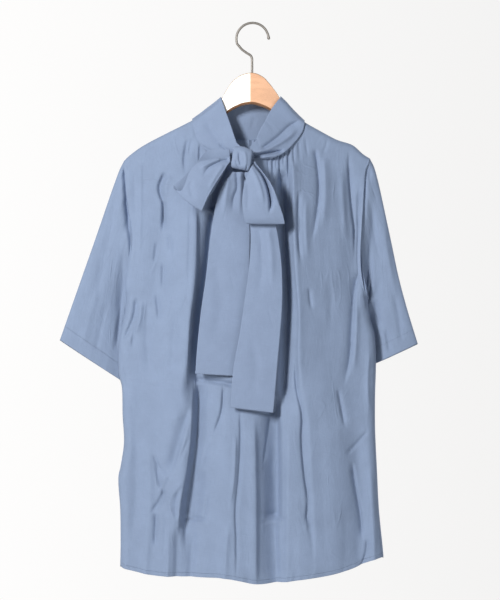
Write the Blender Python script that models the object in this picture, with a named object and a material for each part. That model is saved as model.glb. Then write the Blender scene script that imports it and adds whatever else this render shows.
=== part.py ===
"""Short-sleeve blouse with a tied bow collar, hanging flat on a wooden hanger.

Metres, +Z up, X across the garment, the front faces -Y.  The origin is the
inside of the hook's crown, where a rail would carry it.  Tables below are in
millimetres and are turned into metres by MM.
"""
import math
import bmesh
import bpy
import numpy as np

for old in list(bpy.data.objects):
    bpy.data.objects.remove(old, do_unlink=True)

MM = 0.001

# ---------------------------------------------------------------- main sizes
CLOTH_WALL = 1.2        # body and sleeve cloth, with its turned edges
BAND_WALL = 1.6         # the doubled tie strip of collar and bow
SEAM_GAP = 0.45         # clearance between pieces at a seam
BAND_LIFT = 2.0         # how far the collar lies off the body panels
ARM_HALF = 6.0          # half thickness of the hanger's arms
ARM_SWEEP = 0.158       # how far the arms sweep back for each mm outward
OVER_ARM_R = 10.0       # rounding of the cloth over the arm, downwards
OVER_ARM_H = 8.6        # half depth of the cloth over the arm
SIDE_R = 14.0           # rounding at the side seams
BODY_HALF = 20.0        # half depth of the hanging body
UNDERARM_L = (-199.5, -421.0)
UNDERARM_R = (181.0, -426.0)
HOOK_WIRE = 1.9         # radius of the hook's wire
HOOK_HOLE = 2.5         # radius of the hole drilled for its stem
NECK_TOP_BACK = -113.0  # top edge of the collar behind the hanger


def lut(rows, v):
    """Value at v from rows of (position, value), straight between rows."""
    a = np.asarray(rows, float)
    if a[0, 0] > a[-1, 0]:
        a = a[::-1]
    return np.interp(v, a[:, 0], a[:, 1])


def smooth(t):
    t = np.clip(t, 0.0, 1.0)
    return t * t * (3.0 - 2.0 * t)


def catmull(rows, n):
    """Rows along a smooth curve through the table's rows, by chord length:
    n even ones, or one at each of the given shares of the length."""
    p = np.asarray(rows, float)
    d = np.sqrt(np.sum(np.diff(p, axis=0) ** 2, axis=1)) + 1e-6
    s = np.concatenate([[0.0], np.cumsum(d)])
    q = np.linspace(0.0, s[-1], n) if isinstance(n, int) else np.asarray(n) * s[-1]
    m = np.zeros_like(p)
    m[1:-1] = (p[2:] - p[:-2]) / (s[2:] - s[:-2])[:, None]
    m[0] = (p[1] - p[0]) / d[0]
    m[-1] = (p[-1] - p[-2]) / d[-1]
    k = np.clip(np.searchsorted(s, q, side="right") - 1, 0, len(d) - 1)
    h = d[k][:, None]
    t = ((q - s[k]) / d[k])[:, None]
    return ((2 * t**3 - 3 * t**2 + 1) * p[k] + (t**3 - 2 * t**2 + t) * h * m[k]
            + (-2 * t**3 + 3 * t**2) * p[k + 1] + (t**3 - t**2) * h * m[k + 1])


# ------------------------------------------------------- outlines, front view
# shoulder line (x, z), middle of the cloth, from tip to tip over the hanger
SHOULDER = [(-203.4, -212.0), (-196.5, -205.0), (-180.0, -192.6),
            (-163.4, -182.9), (-135.6, -169.1), (-94.1, -148.9),
            (-69.1, -134.7), (-49.0, -115.4), (-25.0, -97.0), (0.0, -92.0),
            (20.0, -97.0), (43.8, -114.4), (53.0, -123.0), (67.9, -140.6),
            (78.4, -149.9), (105.2, -164.9), (132.8, -178.9),
            (157.8, -187.1), (174.4, -201.0), (185.4, -207.8)]
# front armholes from underarm to shoulder tip (x, z)
ARMHOLE_L = [UNDERARM_L, (-197.5, -400.0), (-194.8, -368.0), (-192.6, -329.0),
             (-193.8, -300.0), (-198.2, -262.0), (-200.6, -232.0),
             (-203.4, -212.0)]
ARMHOLE_R = [UNDERARM_R, (176.6, -404.0), (172.2, -378.0), (170.2, -346.0),
             (171.6, -307.0), (174.6, -262.0), (177.0, -228.0),
             (185.4, -207.8)]
# neckline of the front and of the back, left to right (x, z)
NECK_FRONT = [(-94.1, -148.9), (-92.2, -160.0), (-87.9, -177.8),
              (-81.7, -186.6), (-71.0, -200.9), (-46.0, -217.0),
              (-15.0, -225.0), (18.0, -218.7), (33.9, -211.6),
              (50.1, -201.8), (60.8, -190.2), (69.6, -181.4),
              (76.7, -170.5), (80.0, -160.0), (81.2, -151.6)]
NECK_BACK = [(-94.1, -148.9), (-84.0, -163.0), (-62.0, -174.0),
             (-30.0, -179.0), (-6.0, -180.0), (20.0, -178.5),
             (52.0, -172.0), (72.0, -163.0), (81.2, -151.6)]
# side edges below the underarm (z, x)
SIDE_L = [(-421.0, -199.5), (-434.0, -199.6), (-460.4, -202.9),
          (-486.2, -209.3), (-505.3, -211.3), (-549.5, -210.8),
          (-568.4, -205.8), (-612.9, -204.4), (-657.2, -202.1),
          (-696.0, -207.4), (-713.6, -211.0), (-761.0, -208.0),
          (-820.4, -207.4), (-852.0, -208.0)]
SIDE_R_EDGE = [(-426.0, 181.0), (-461.9, 186.0), (-484.1, 192.4),
               (-527.0, 194.6), (-583.3, 193.0), (-636.6, 193.0),
               (-701.8, 195.9), (-761.1, 198.9), (-820.4, 204.8),
               (-834.0, 206.0)]
# lower edge (x, z)
HEM = [(-208.0, -848.0), (-192.5, -853.1), (-154.1, -860.3),
       (-109.6, -861.3), (-73.9, -861.9), (-44.3, -862.6), (-20.6, -866.5),
       (0.0, -871.0), (18.6, -872.0), (43.9, -869.7), (67.6, -866.5),
       (91.3, -863.4), (122.9, -858.5), (154.5, -850.6), (178.4, -841.2),
       (194.2, -835.8), (206.0, -833.6)]

# Largest folds of the front: each row is one fold.
# name, (z, x) nodes down its run, height toward the viewer (- is a trough),
# reach on its left, reach on its right
FRONT_FOLDS = [
    ("ridge beside left tail", [(-225, -92), (-330, -96), (-430, -100), (-580, -112)], 8.0, 30.0, 11.0),
    ("trough under left tail", [(-240, -52), (-420, -62), (-575, -70)], -7.0, 24.0, 30.0),
    ("trough under right tail", [(-240, 30), (-420, 34), (-600, 30)], -7.0, 40.0, 26.0),
    ("ridge beside right tail", [(-222, 66), (-330, 68), (-440, 76), (-600, 78)], 8.0, 12.0, 34.0),
    ("left chest hollow", [(-290, -141), (-360, -139), (-440, -150)], -5.0, 18.0, 20.0),
    ("right chest hollow", [(-230, 152), (-330, 160), (-430, 157)], -5.0, 18.0, 20.0),
    ("left long ridge", [(-560, -104), (-700, -110), (-868, -118)], 7.0, 34.0, 16.0),
    ("left deep trough", [(-560, -91), (-640, -93), (-740, -102), (-868, -106)], -9.0, 12.0, 20.0),
    ("centre left ridge", [(-640, -38), (-760, -36), (-872, -30)], 6.0, 22.0, 20.0),
    ("centre trough", [(-620, 22), (-740, 30), (-876, 34)], -8.0, 24.0, 20.0),
    ("centre right ridge", [(-590, 66), (-740, 70), (-870, 82)], 6.0, 18.0, 30.0),
    ("right broad ridge", [(-560, 112), (-700, 122), (-862, 130)], 5.0, 26.0, 30.0),
    ("right lower trough", [(-640, 160), (-740, 170), (-852, 172)], -6.0, 18.0, 18.0),
]
# Largest folds of the back, height away from the body
BACK_FOLDS = [
    ("left back ridge", [(-240, -84), (-500, -104), (-860, -128)], 6.0, 34.0, 26.0),
    ("left inner trough", [(-230, -40), (-500, -52), (-870, -60)], -6.0, 24.0, 22.0),
    ("middle ridge", [(-215, -4), (-500, -8), (-872, -2)], 7.0, 26.0, 28.0),
    ("right inner trough", [(-230, 38), (-500, 48), (-866, 62)], -6.0, 24.0, 24.0),
    ("right back ridge", [(-240, 80), (-500, 104), (-860, 132)], 6.0, 26.0, 34.0),
]


def fold_sum(folds, x, z, fade=60.0):
    """Height of all folds of a table at the points x, z."""
    total = np.zeros_like(x)
    for _, run, height, left, right in folds:
        run = np.asarray(run, float)
        xc = np.interp(-z, -run[:, 0], run[:, 1])
        d = x - xc
        side = np.where(d < 0, left, right)
        top = smooth((run[0, 0] + fade * 0.5 - z) / fade)
        end = smooth((z - run[-1, 0] + fade * 0.5) / fade)
        total += height * np.exp(-(d / side) ** 2) * top * end
    return total


def shoulder_z(x):
    return lut(SHOULDER, x)


def y_mid(x, z):
    """Middle depth of the garment: the arms sweep back, the hem less so."""
    r = np.sqrt(np.asarray(x, float) ** 2 + 20.0 ** 2) - 20.0
    hang = 1.0 - 0.40 * smooth((-400.0 - z) / 300.0)
    return ARM_SWEEP * r * hang


def half_depth(x, z, lift=0.0, folded_side=True):
    """Half depth of the flattened body around the hanger and its sides."""
    e = shoulder_z(x) + lift - z
    r = OVER_ARM_R + lift
    ring = np.sqrt(np.clip(1.0 - (1.0 - np.clip(e, 0, r) / r) ** 2, 0, 1))
    h = (OVER_ARM_H + lift) * ring
    h = h + (BODY_HALF - OVER_ARM_H) * smooth((e - 12.0) / 120.0)
    h = h * (1.0 - 0.30 * smooth((np.abs(x) - 100.0) / 80.0) * smooth((e - 20.0) / 60.0))
    if folded_side:
        left = x - np.where(z < UNDERARM_L[1], lut(SIDE_L, z), UNDERARM_L[0])
        right = np.where(z < UNDERARM_R[1], lut(SIDE_R_EDGE, z), UNDERARM_R[0]) - x
        left = np.maximum(left, 0) + 0.5 * np.maximum(z - UNDERARM_L[1], 0)
        right = np.maximum(right, 0) + 0.5 * np.maximum(z - UNDERARM_R[1], 0)
        for s in (left, right):
            c = np.clip(s, 0, SIDE_R) / SIDE_R
            h = h * np.sqrt(np.clip(1.0 - (1.0 - c) ** 2, 0, 1))
    return h


def fold_mask(x, z):
    """Folds die out toward the shoulder line, armholes and side seams."""
    e = shoulder_z(x) - z
    side = np.minimum(x + 204.0, 196.0 - x)
    return smooth((e - 14.0) / 60.0) * smooth(side / 34.0)


def y_front(x, z):
    return (y_mid(x, z) - half_depth(x, z)
            - fold_sum(FRONT_FOLDS, x, z) * fold_mask(x, z))


def y_back(x, z):
    return (y_mid(x, z) + half_depth(x, z)
            + fold_sum(BACK_FOLDS, x, z) * fold_mask(x, z))


# ------------------------------------------------------------ mesh builders
def material(name, colour, rough, metal=0.0, sheen=0.0):
    m = bpy.data.materials.new(name)
    m.use_nodes = True
    p = m.node_tree.nodes["Principled BSDF"]
    p.inputs["Base Color"].default_value = (*colour, 1.0)
    p.inputs["Roughness"].default_value = rough
    p.inputs["Metallic"].default_value = metal
    p.inputs["Sheen Weight"].default_value = sheen
    return m


def sheet(name, grid, wall, mat, wrap=False):
    """A cloth wall of the given thickness on a grid of points in mm."""
    grid = np.asarray(grid) * MM
    n, m = grid.shape[:2]
    bm = bmesh.new()
    vs = [[bm.verts.new(grid[i, j]) for j in range(m)] for i in range(n)]
    last = n if wrap else n - 1
    for i in range(last):
        k = (i + 1) % n
        for j in range(m - 1):
            bm.faces.new((vs[i][j], vs[k][j], vs[k][j + 1], vs[i][j + 1]))
    bmesh.ops.recalc_face_normals(bm, faces=bm.faces)
    me = bpy.data.meshes.new(name)
    bm.to_mesh(me)
    bm.free()
    me.shade_smooth()
    ob = bpy.data.objects.new(name, me)
    bpy.context.collection.objects.link(ob)
    me.materials.append(mat)
    wallmod = ob.modifiers.new("wall", "SOLIDIFY")
    wallmod.thickness = wall * MM
    wallmod.offset = 0.0
    wallmod.use_even_offset = False
    wallmod.use_rim = True
    return ob


def lofted(name, rings, mat):
    """A closed solid through rings of points in mm, capped at both ends."""
    rings = np.asarray(rings) * MM
    n, m = rings.shape[:2]
    bm = bmesh.new()
    vs = [[bm.verts.new(rings[i, j]) for j in range(m)] for i in range(n)]
    for i in range(n - 1):
        for j in range(m):
            k = (j + 1) % m
            bm.faces.new((vs[i][j], vs[i][k], vs[i + 1][k], vs[i + 1][j]))
    bm.faces.new(vs[0][::-1])
    bm.faces.new(vs[-1])
    bmesh.ops.recalc_face_normals(bm, faces=bm.faces)
    me = bpy.data.meshes.new(name)
    bm.to_mesh(me)
    bm.free()
    me.shade_smooth()
    ob = bpy.data.objects.new(name, me)
    bpy.context.collection.objects.link(ob)
    me.materials.append(mat)
    return ob


CLOTH = (0.30, 0.37, 0.55)
mat_front = material("front cloth", CLOTH, 0.72, sheen=0.2)
mat_back = material("back cloth", CLOTH, 0.72, sheen=0.2)
mat_sleeve_r = material("right sleeve cloth", CLOTH, 0.72, sheen=0.2)
mat_sleeve_l = material("left sleeve cloth", CLOTH, 0.72, sheen=0.2)
mat_band = material("collar cloth", (0.31, 0.38, 0.56), 0.70, sheen=0.2)
mat_knot = material("knot cloth", (0.31, 0.38, 0.56), 0.70, sheen=0.2)
mat_loop_l = material("left loop cloth", (0.32, 0.39, 0.57), 0.70, sheen=0.2)
mat_loop_r = material("right loop cloth", (0.32, 0.39, 0.57), 0.70, sheen=0.2)
mat_tail_l = material("left tail cloth", (0.31, 0.38, 0.56), 0.70, sheen=0.2)
mat_tail_r = material("right tail cloth", (0.31, 0.38, 0.56), 0.70, sheen=0.2)
mat_wood = material("varnished beech", (0.80, 0.52, 0.30), 0.38)
mat_steel = material("satin steel", (0.42, 0.42, 0.43), 0.32, metal=1.0)

# --------------------------------------------------------------- body panels
EDGE_FRACTIONS = [0.0, 0.0016, 0.0062, 0.0140, 0.0300]
ROW_FRACTIONS = [0.0, 0.0012, 0.005, 0.0125, 0.03]
NECK_TURN = [0.006, 0.019, 0.042, 0.080]      # neck columns over the arm


def along(points, fractions):
    """Points at the given fractions of a polyline's length."""
    p = np.asarray(points, float)
    s = np.concatenate([[0], np.cumsum(np.hypot(*np.diff(p, axis=0).T))])
    s /= s[-1]
    return np.stack([np.interp(fractions, s, p[:, 0]),
                     np.interp(fractions, s, p[:, 1])], axis=1)


def spread(start, points, end, count):
    return along(points, np.linspace(start, end, count))


def panel_grid(neck, depth, sign, shoulder_cols, neck_cols, rows,
               hem_drop=0.0):
    """Grid of one body panel: columns run from the shoulder seams and the
    neckline down to the hem, so they spread as the gathers do, and the outer
    columns follow the armhole and the side seam."""
    sh_l = np.array([(x, z) for x, z in SHOULDER if x <= -94.1])
    sh_r = np.array([(81.2, -151.6)] + [(x, z) for x, z in SHOULDER if x > 82])
    edge = np.array(EDGE_FRACTIONS)
    sh_f = np.concatenate([edge * 3.2, np.linspace(0.096, 1.0, shoulder_cols + 1)[1:]])
    hem_f = np.concatenate([edge, np.linspace(0.03, 0.25, shoulder_cols + 1)[1:]])
    turn = np.array(NECK_TURN)
    neck_f = np.concatenate([turn, np.linspace(turn[-1], 1 - turn[-1], neck_cols + 1)[1:-1],
                             1 - turn[::-1]])
    top = np.concatenate([along(sh_l, sh_f), along(neck, neck_f),
                          along(sh_r, 1 - sh_f[::-1])])
    frac = np.concatenate([hem_f, 0.25 + 0.50 * neck_f ** 1.0, 1 - hem_f[::-1]])
    n = len(top)
    bottom = along(HEM, frac)
    bottom[:, 1] += hem_drop
    w = np.concatenate([ROW_FRACTIONS, np.linspace(0.03, 1.0, rows + 1)[1:]])
    edge_l = ARMHOLE_L[::-1] + [(x, z) for z, x in SIDE_L[1:]]
    edge_r = ARMHOLE_R[::-1] + [(x, z) for z, x in SIDE_R_EDGE[1:]]
    grid = np.zeros((n, len(w), 3))
    for i in range(n):
        x = top[i, 0] + (bottom[i, 0] - top[i, 0]) * w
        z = top[i, 1] + (bottom[i, 1] - top[i, 1]) * w
        for line, near in ((edge_l, max(0.0, 1 - frac[i] / 0.35)),
                           (edge_r, max(0.0, 1 - (1 - frac[i]) / 0.35))):
            line = np.asarray(line, float)
            ez = line[0, 1] + (line[-1, 1] - line[0, 1]) * w
            straight = line[0, 0] + (line[-1, 0] - line[0, 0]) * w
            x = x + near * (np.interp(-ez, -line[:, 1], line[:, 0]) - straight)
        grid[i, :, 0], grid[i, :, 1], grid[i, :, 2] = x, depth(x, z), z
        grid[i, :, 1] += 0.5 * SEAM_GAP * sign
    return grid


front_grid = panel_grid(NECK_FRONT, y_front, -1, 4, 11, 18)
back_grid = panel_grid(NECK_BACK, y_back, +1, 4, 7, 14, hem_drop=-3.0)
sheet("front_panel", front_grid, CLOTH_WALL, mat_front)
sheet("back_panel", back_grid, CLOTH_WALL, mat_back)


# ------------------------------------------------------------------- sleeves
# One row a section: share of the sleeve's length, outer end (x, z), inner end
# (x, z), half thickness, depth of the outer end, depth of the inner end.
SLEEVE_R_ROWS = [
    (0.00, -204.4, -211.2, -200.5, -421.6, 11.5, 28.5, 28.5),
    (0.08, -211.4, -229.5, -203.6, -433.0, 11.5, 29.0, 34.0),
    (0.20, -222.6, -260.0, -203.0, -458.0, 10.5, 30.0, 44.0),
    (0.45, -245.6, -326.0, -194.0, -500.0, 8.0, 33.0, 50.0),
    (0.72, -274.0, -406.0, -183.0, -542.0, 7.5, 36.0, 50.0),
    (1.00, -305.4, -494.6, -173.0, -582.0, 8.5, 39.0, 50.0),
]
SLEEVE_L_ROWS = [
    (0.00, 186.4, -207.0, 182.0, -426.6, 11.0, 26.0, 26.0),
    (0.08, 192.6, -223.5, 188.4, -437.0, 11.0, 26.5, 35.0),
    (0.20, 200.6, -254.0, 182.0, -460.0, 9.0, 28.0, 46.0),
    (0.45, 217.0, -328.0, 160.0, -494.0, 8.0, 31.0, 46.0),
    (0.72, 236.0, -414.0, 138.0, -530.0, 7.5, 34.0, 47.0),
    (1.00, 262.0, -500.6, 117.0, -568.0, 8.5, 37.0, 47.0),
]


def behind_body(x, z, outward):
    """Least depth that keeps a sleeve point behind the body's side."""
    edge = float(lut(SIDE_L, z) if outward < 0 else lut(SIDE_R_EDGE, z))
    under = UNDERARM_L[1] if outward < 0 else UNDERARM_R[1]
    out = (x - edge) * outward
    inside = min(x * outward - 6.0, edge * outward) * outward
    px, pz = np.array([inside]), np.array([z])
    clear = 3.6 if outward < 0 else 6.6
    near = float(y_back(px, pz)[0]) + clear - 16.0 * float(smooth((out - 18.0) / 44.0))
    return near - 40.0 * float(1 - smooth((under + 7.0 - z) / 17.0))


SLEEVE_STATIONS = [0.0, 0.045, 0.11, 0.20, 0.33, 0.48, 0.65, 0.82, 1.0]


def sleeve_grid(rows, hole, outward, around=20):
    along_n = len(SLEEVE_STATIONS)
    table = catmull(rows, SLEEVE_STATIONS)
    hole = np.asarray(hole, float)[::-1]          # shoulder tip to underarm
    grid = np.zeros((around, along_n, 3))
    for j, (s, ox, oz, ix, iz, half, oy, iy) in enumerate(table):
        fade = 1 - smooth(s / 0.45)
        for i in range(around):
            a = 2 * math.pi * i / around
            f = (1 - math.cos(a)) / 2
            sn = math.sin(a) if abs(math.sin(a)) > 1e-9 else 0.0
            x, z = ox + (ix - ox) * f, oz + (iz - oz) * f
            cx, cz = along(hole, [f])[0]
            r = rows[0]
            x += (cx + (1.5 + (2.6 if outward < 0 else 5.0) * f ** 3) * outward - (r[1] + (r[3] - r[1]) * f)) * fade
            z += (cz - (r[2] + (r[4] - r[2]) * f)) * fade
            thick = half * abs(sn) ** 0.8
            y = oy + (iy - oy) * smooth(f)
            y = max(y, behind_body(x, z, outward) + thick)
            if j == 0:       # the first ring meets both panels' armhole edges
                px, pz = np.array([cx]), np.array([cz])
                y = float(y_mid(px, pz)[0])
                thick = float(half_depth(px, pz)[0]) if sn else 0.0
            grid[i, j] = (x, y - thick * np.sign(sn), z)
    return grid


sr = sleeve_grid(SLEEVE_R_ROWS, ARMHOLE_L, -1)
sl = sleeve_grid(SLEEVE_L_ROWS, ARMHOLE_R, +1)
sheet("sleeve_wearer_right", sr, CLOTH_WALL, mat_sleeve_r, wrap=True)
sheet("sleeve_wearer_left", sl, CLOTH_WALL, mat_sleeve_l, wrap=True)


# --------------------------------------------------------------- collar band
# One row a station round the neck, from the knot over the wearer's right,
# behind the neck and back to the knot: seam edge (x, z), free edge (x, z),
# side (1 front, -1 back), rise of the band toward the viewer at its end.
COLLAR_ROWS = [
    (-18.0, -223.0, -20.0, -191.5, 1, 5.0),
    (-34.0, -221.0, -23.5, -188.5, 1, 3.5),
    (-52.0, -213.0, -25.0, -186.0, 1, 1.5),
    (-70.0, -201.5, -26.5, -181.4, 1, 0.5),
    (-86.0, -180.0, -33.5, -160.0, 1, 0.0),
    (-92.0, -163.0, -41.0, -138.6, 1, 0.9),
    (-94.0, -154.0, -47.0, -121.5, 1, 0.5),
    (-94.2, -149.6, -48.6, -116.2, 1, 0.0),
    (-94.2, -147.4, -49.0, -113.8, 1, 0.0),
    (-94.2, -146.9, -49.0, -113.4, 0, 0.0),
    (-94.2, -147.4, -49.0, -113.8, -1, 0.0),
    (-94.2, -149.6, -48.0, -114.6, -1, 0.0),
    (-93.0, -154.0, -45.0, -115.0, -1, -0.8),
    (-84.0, -163.5, -36.0, -114.5, -1, -3.0),
    (-62.0, -174.0, -26.0, -113.8, -1, -5.0),
    (-30.0, -179.0, -14.0, -113.2, -1, -6.0),
    (-6.0, -180.0, -3.0, -113.0, -1, -6.5),
    (20.0, -178.5, 10.0, -113.2, -1, -6.0),
    (52.0, -172.0, 21.0, -113.8, -1, -5.0),
    (70.0, -164.4, 30.0, -114.5, -1, -3.0),
    (80.0, -157.4, 39.5, -115.0, -1, -1.0),
    (81.3, -152.4, 43.0, -114.4, -1, 0.0),
    (81.4, -150.2, 43.8, -112.8, -1, 0.0),
    (81.4, -149.6, 43.8, -112.4, 0, 0.0),
    (81.4, -150.2, 43.8, -112.8, 1, 0.0),
    (81.3, -152.4, 43.2, -115.4, 1, 0.0),
    (81.0, -157.0, 40.0, -119.0, 1, 0.0),
    (77.5, -169.0, 28.7, -135.0, 1, 0.0),
    (66.0, -185.0, 20.0, -152.0, 1, 0.5),
    (48.0, -203.0, 11.0, -168.0, 1, 1.5),
    (26.0, -212.0, 4.5, -184.0, 1, 3.5),
    (-4.0, -213.0, -4.0, -193.8, 1, 5.0),
]


def collar_grid(across=5, lift=BAND_LIFT):
    grid = np.zeros((len(COLLAR_ROWS), across, 3))
    for i, (bx, bz, tx, tz, side, rise) in enumerate(COLLAR_ROWS):
        for j in range(across):
            v = j / (across - 1)
            x, z = bx + (tx - bx) * v, bz + (tz - bz) * v
            xs, zs = np.array([x]), np.array([z])
            if side == 0:
                grid[i, j] = (x, float(y_mid(xs, zs)[0]),
                              float(shoulder_z(xs)[0]) + lift)
                continue
            h = float(half_depth(xs, zs, lift=lift, folded_side=False)[0])
            mid = float(y_mid(xs, zs)[0])
            bulge = 2.0 * math.sin(math.pi * v) if side < 0 else 0.0
            out = rise if side > 0 else rise * v
            grid[i, j] = (x, mid - side * (h + bulge) - out, z)
    return grid


sheet("collar_band", collar_grid(), BAND_WALL, mat_band)


# ----------------------------------------------------------------------- bow
# One row a station along the strip: outer edge (x, y, z), inner edge
# (x, y, z); the strip leaves the knot, turns over at the far fold and returns.
LOOP_L_ROWS = [
    (-35.0, -36.5, -200.5, -35.0, -33.5, -214.0),
    (-44.0, -34.5, -200.0, -40.0, -33.0, -226.0),
    (-70.0, -32.0, -200.5, -54.0, -33.0, -252.0),
    (-99.0, -32.0, -229.0, -68.0, -33.5, -275.0),
    (-119.0, -34.0, -252.0, -77.0, -35.5, -290.0),
    (-123.0, -38.0, -258.0, -79.0, -40.0, -294.5),
    (-118.0, -43.0, -253.0, -76.0, -45.0, -290.0),
    (-103.0, -46.0, -238.0, -66.0, -48.0, -271.0),
    (-88.0, -47.5, -224.0, -55.0, -49.5, -249.0),
    (-66.0, -46.5, -216.5, -45.0, -49.0, -232.0),
    (-46.0, -44.5, -214.0, -37.0, -47.0, -221.5),
    (-34.6, -42.5, -208.5, -34.6, -44.0, -219.5),
]
LOOP_R_ROWS = [
    (2.4, -40.0, -215.0, -7.0, -38.5, -235.0),
    (14.0, -39.0, -232.0, -10.5, -39.0, -246.0),
    (28.0, -38.5, -257.0, -12.0, -39.0, -268.0),
    (39.0, -39.0, -282.0, -14.0, -39.5, -292.0),
    (46.0, -41.0, -304.0, -13.0, -41.5, -308.0),
    (49.4, -45.5, -314.5, -9.5, -46.0, -313.5),
    (44.0, -51.0, -304.0, -14.5, -51.5, -304.0),
    (31.0, -54.5, -285.0, -15.5, -54.5, -286.0),
    (24.0, -56.0, -262.0, -14.5, -55.5, -266.0),
    (11.0, -54.5, -241.0, -11.5, -53.0, -248.0),
    (2.4, -49.0, -223.0, -7.0, -48.5, -236.5),
]
# One row a level down a tail: z, left x, right x, depth y
TAIL_L_ROWS = [
    (-233.5, -31.0, -15.0, -34.0),
    (-245.0, -40.0, -12.5, -31.0),
    (-262.0, -50.5, -8.5, -28.0),
    (-290.0, -58.0, -6.0, -25.5),
    (-330.0, -64.0, -4.0, -24.0),
    (-395.0, -72.0, -5.5, -23.0),
    (-450.0, -80.0, -11.0, -22.5),
    (-507.0, -86.0, -18.0, -22.0),
    (-545.0, -88.5, -21.0, -22.0),
]
TAIL_R_ROWS = [
    (-233.5, -12.0, 2.0, -34.5),
    (-248.0, -10.0, 10.0, -34.0),
    (-275.0, -8.5, 24.0, -33.5),
    (-300.0, -5.0, 33.0, -33.0),
    (-332.0, -3.0, 39.0, -32.0),
    (-372.0, -4.5, 44.5, -31.0),
    (-430.0, -12.0, 46.0, -30.5),
    (-484.0, -20.0, 42.6, -30.0),
    (-540.0, -30.0, 37.5, -29.5),
    (-597.0, -34.0, 32.0, -29.5),
]


def loop_grid(rows, stations, across, bulge):
    table = catmull(rows, stations)
    grid = np.zeros((stations, across, 3))
    for i, r in enumerate(table):
        for j in range(across):
            v = j / (across - 1)
            p = r[:3] * (1 - v) + r[3:] * v
            turned = 1.0 if i > stations * 0.5 else -0.4
            p[1] -= turned * bulge * math.sin(math.pi * v) * math.sin(
                math.pi * i / (stations - 1)) ** 0.5
            grid[i, j] = p
    return grid


def tail_grid(rows, stations, across, bulge, tilt):
    table = catmull(rows, stations)
    grid = np.zeros((across, stations, 3))
    for j, (z, xl, xr, y) in enumerate(table):
        for i in range(across):
            v = i / (across - 1)
            grid[i, j] = (xl + (xr - xl) * v,
                          y - bulge * math.sin(math.pi * v) * (1 - 0.5 * j / stations),
                          z - tilt * v * smooth((j / (stations - 1) - 0.75) / 0.25))
    return grid


sheet("bow_loop_left", loop_grid(LOOP_L_ROWS, 22, 5, 2.2), BAND_WALL, mat_loop_l)
sheet("bow_loop_right", loop_grid(LOOP_R_ROWS, 22, 5, 2.0), BAND_WALL, mat_loop_r)
sheet("bow_tail_left", tail_grid(TAIL_L_ROWS, 14, 5, 1.5, 4.0), BAND_WALL, mat_tail_l)
sheet("bow_tail_right", tail_grid(TAIL_R_ROWS, 16, 5, 1.5, 8.0), BAND_WALL, mat_tail_r)

# The knot: the strip wrapped once round the middle, open left and right.
# One row a section across it: x, z of its middle, half height, half depth.
KNOT_ROWS = [
    (-30.4, -209.0, 13.0, 8.0),
    (-27.0, -210.0, 16.2, 9.6),
    (-20.0, -211.0, 18.4, 10.8),
    (-12.0, -213.0, 17.6, 10.6),
    (-6.0, -214.0, 14.6, 9.4),
    (-2.6, -213.0, 11.6, 7.6),
]
KNOT_Y = -39.5


def knot_grid(rows, around=16):
    grid = np.zeros((around, len(rows), 3))
    for j, (x, z, hz, hy) in enumerate(rows):
        for i in range(around):
            a = 2 * math.pi * i / around
            c, s = math.cos(a), math.sin(a)
            grid[i, j] = (x + 2.0 * s, KNOT_Y - hy * np.sign(c) * abs(c) ** 0.8,
                          z + hz * np.sign(s) * abs(s) ** 0.85)
    return grid


sheet("bow_knot", knot_grid(KNOT_ROWS), BAND_WALL, mat_knot, wrap=True)

# -------------------------------------------------------------------- hanger
# One row a section along the wood: x, top z, bottom z, half thickness.
HANGER_ROWS = [
    (-193.0, -208.6, -212.0, 2.4),
    (-190.0, -206.0, -214.4, 4.4),
    (-180.0, -197.4, -214.6, 5.6),
    (-163.4, -187.8, -208.5, 6.0),
    (-135.6, -173.8, -197.5, 6.0),
    (-94.1, -154.0, -178.5, 6.0),
    (-72.0, -141.5, -165.0, 6.0),
    (-54.0, -124.6, -151.0, 6.0),
    (-48.6, -118.6, -146.5, 6.0),
    (-46.4, -113.8, -144.0, 6.0),
    (-40.3, -102.6, -139.5, 6.0),
    (-31.8, -90.5, -134.0, 6.0),
    (-24.0, -84.0, -130.3, 6.0),
    (-16.9, -80.1, -127.6, 6.0),
    (-8.0, -77.6, -126.0, 6.0),
    (0.0, -77.0, -125.7, 6.0),
    (8.0, -78.6, -127.3, 6.0),
    (18.6, -84.5, -130.8, 6.0),
    (25.0, -91.3, -133.8, 6.0),
    (31.9, -99.4, -138.0, 6.0),
    (41.4, -112.6, -144.6, 6.0),
    (43.6, -118.0, -147.0, 6.0),
    (53.0, -127.6, -153.6, 6.0),
    (67.9, -145.4, -164.5, 6.0),
    (80.0, -156.2, -174.0, 6.0),
    (105.2, -169.8, -191.0, 6.0),
    (132.8, -183.8, -203.0, 6.0),
    (157.8, -192.6, -209.4, 5.8),
    (170.0, -201.6, -212.0, 4.8),
    (174.0, -205.4, -210.8, 2.6),
]


def hanger_rings():
    rings = []
    for x, top, bottom, half in HANGER_ROWS:
        mid = float(y_mid(np.array([x]), np.array([-150.0]))[0])
        b = min(2.6, half * 0.6, (top - bottom) * 0.3)   # eased edges
        ring = [(-half + b, top), (half - b, top), (half, top - b),
                (half, bottom + b), (half - b, bottom), (-half + b, bottom),
                (-half, bottom + b), (-half, top - b)]
        rings.append([(x, mid + y, z) for y, z in ring])
    return rings


hanger = lofted("hanger_body", hanger_rings(), mat_wood)
drill_mesh = bpy.data.meshes.new("stem_hole")
bm = bmesh.new()
bmesh.ops.create_cone(bm, cap_ends=True, segments=20, radius1=HOOK_HOLE * MM,
                      radius2=HOOK_HOLE * MM, depth=0.060)
bm.to_mesh(drill_mesh)
bm.free()
drill = bpy.data.objects.new("stem_hole", drill_mesh)
bpy.context.collection.objects.link(drill)
drill.location = (-0.0006, 0.0, -0.0680)          # reaches 21 mm into the wood
drill.hide_render = True
drill.display_type = "WIRE"
cut = hanger.modifiers.new("stem hole", "BOOLEAN")
cut.operation = "DIFFERENCE"
cut.solver = "EXACT"
cut.object = drill

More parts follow.
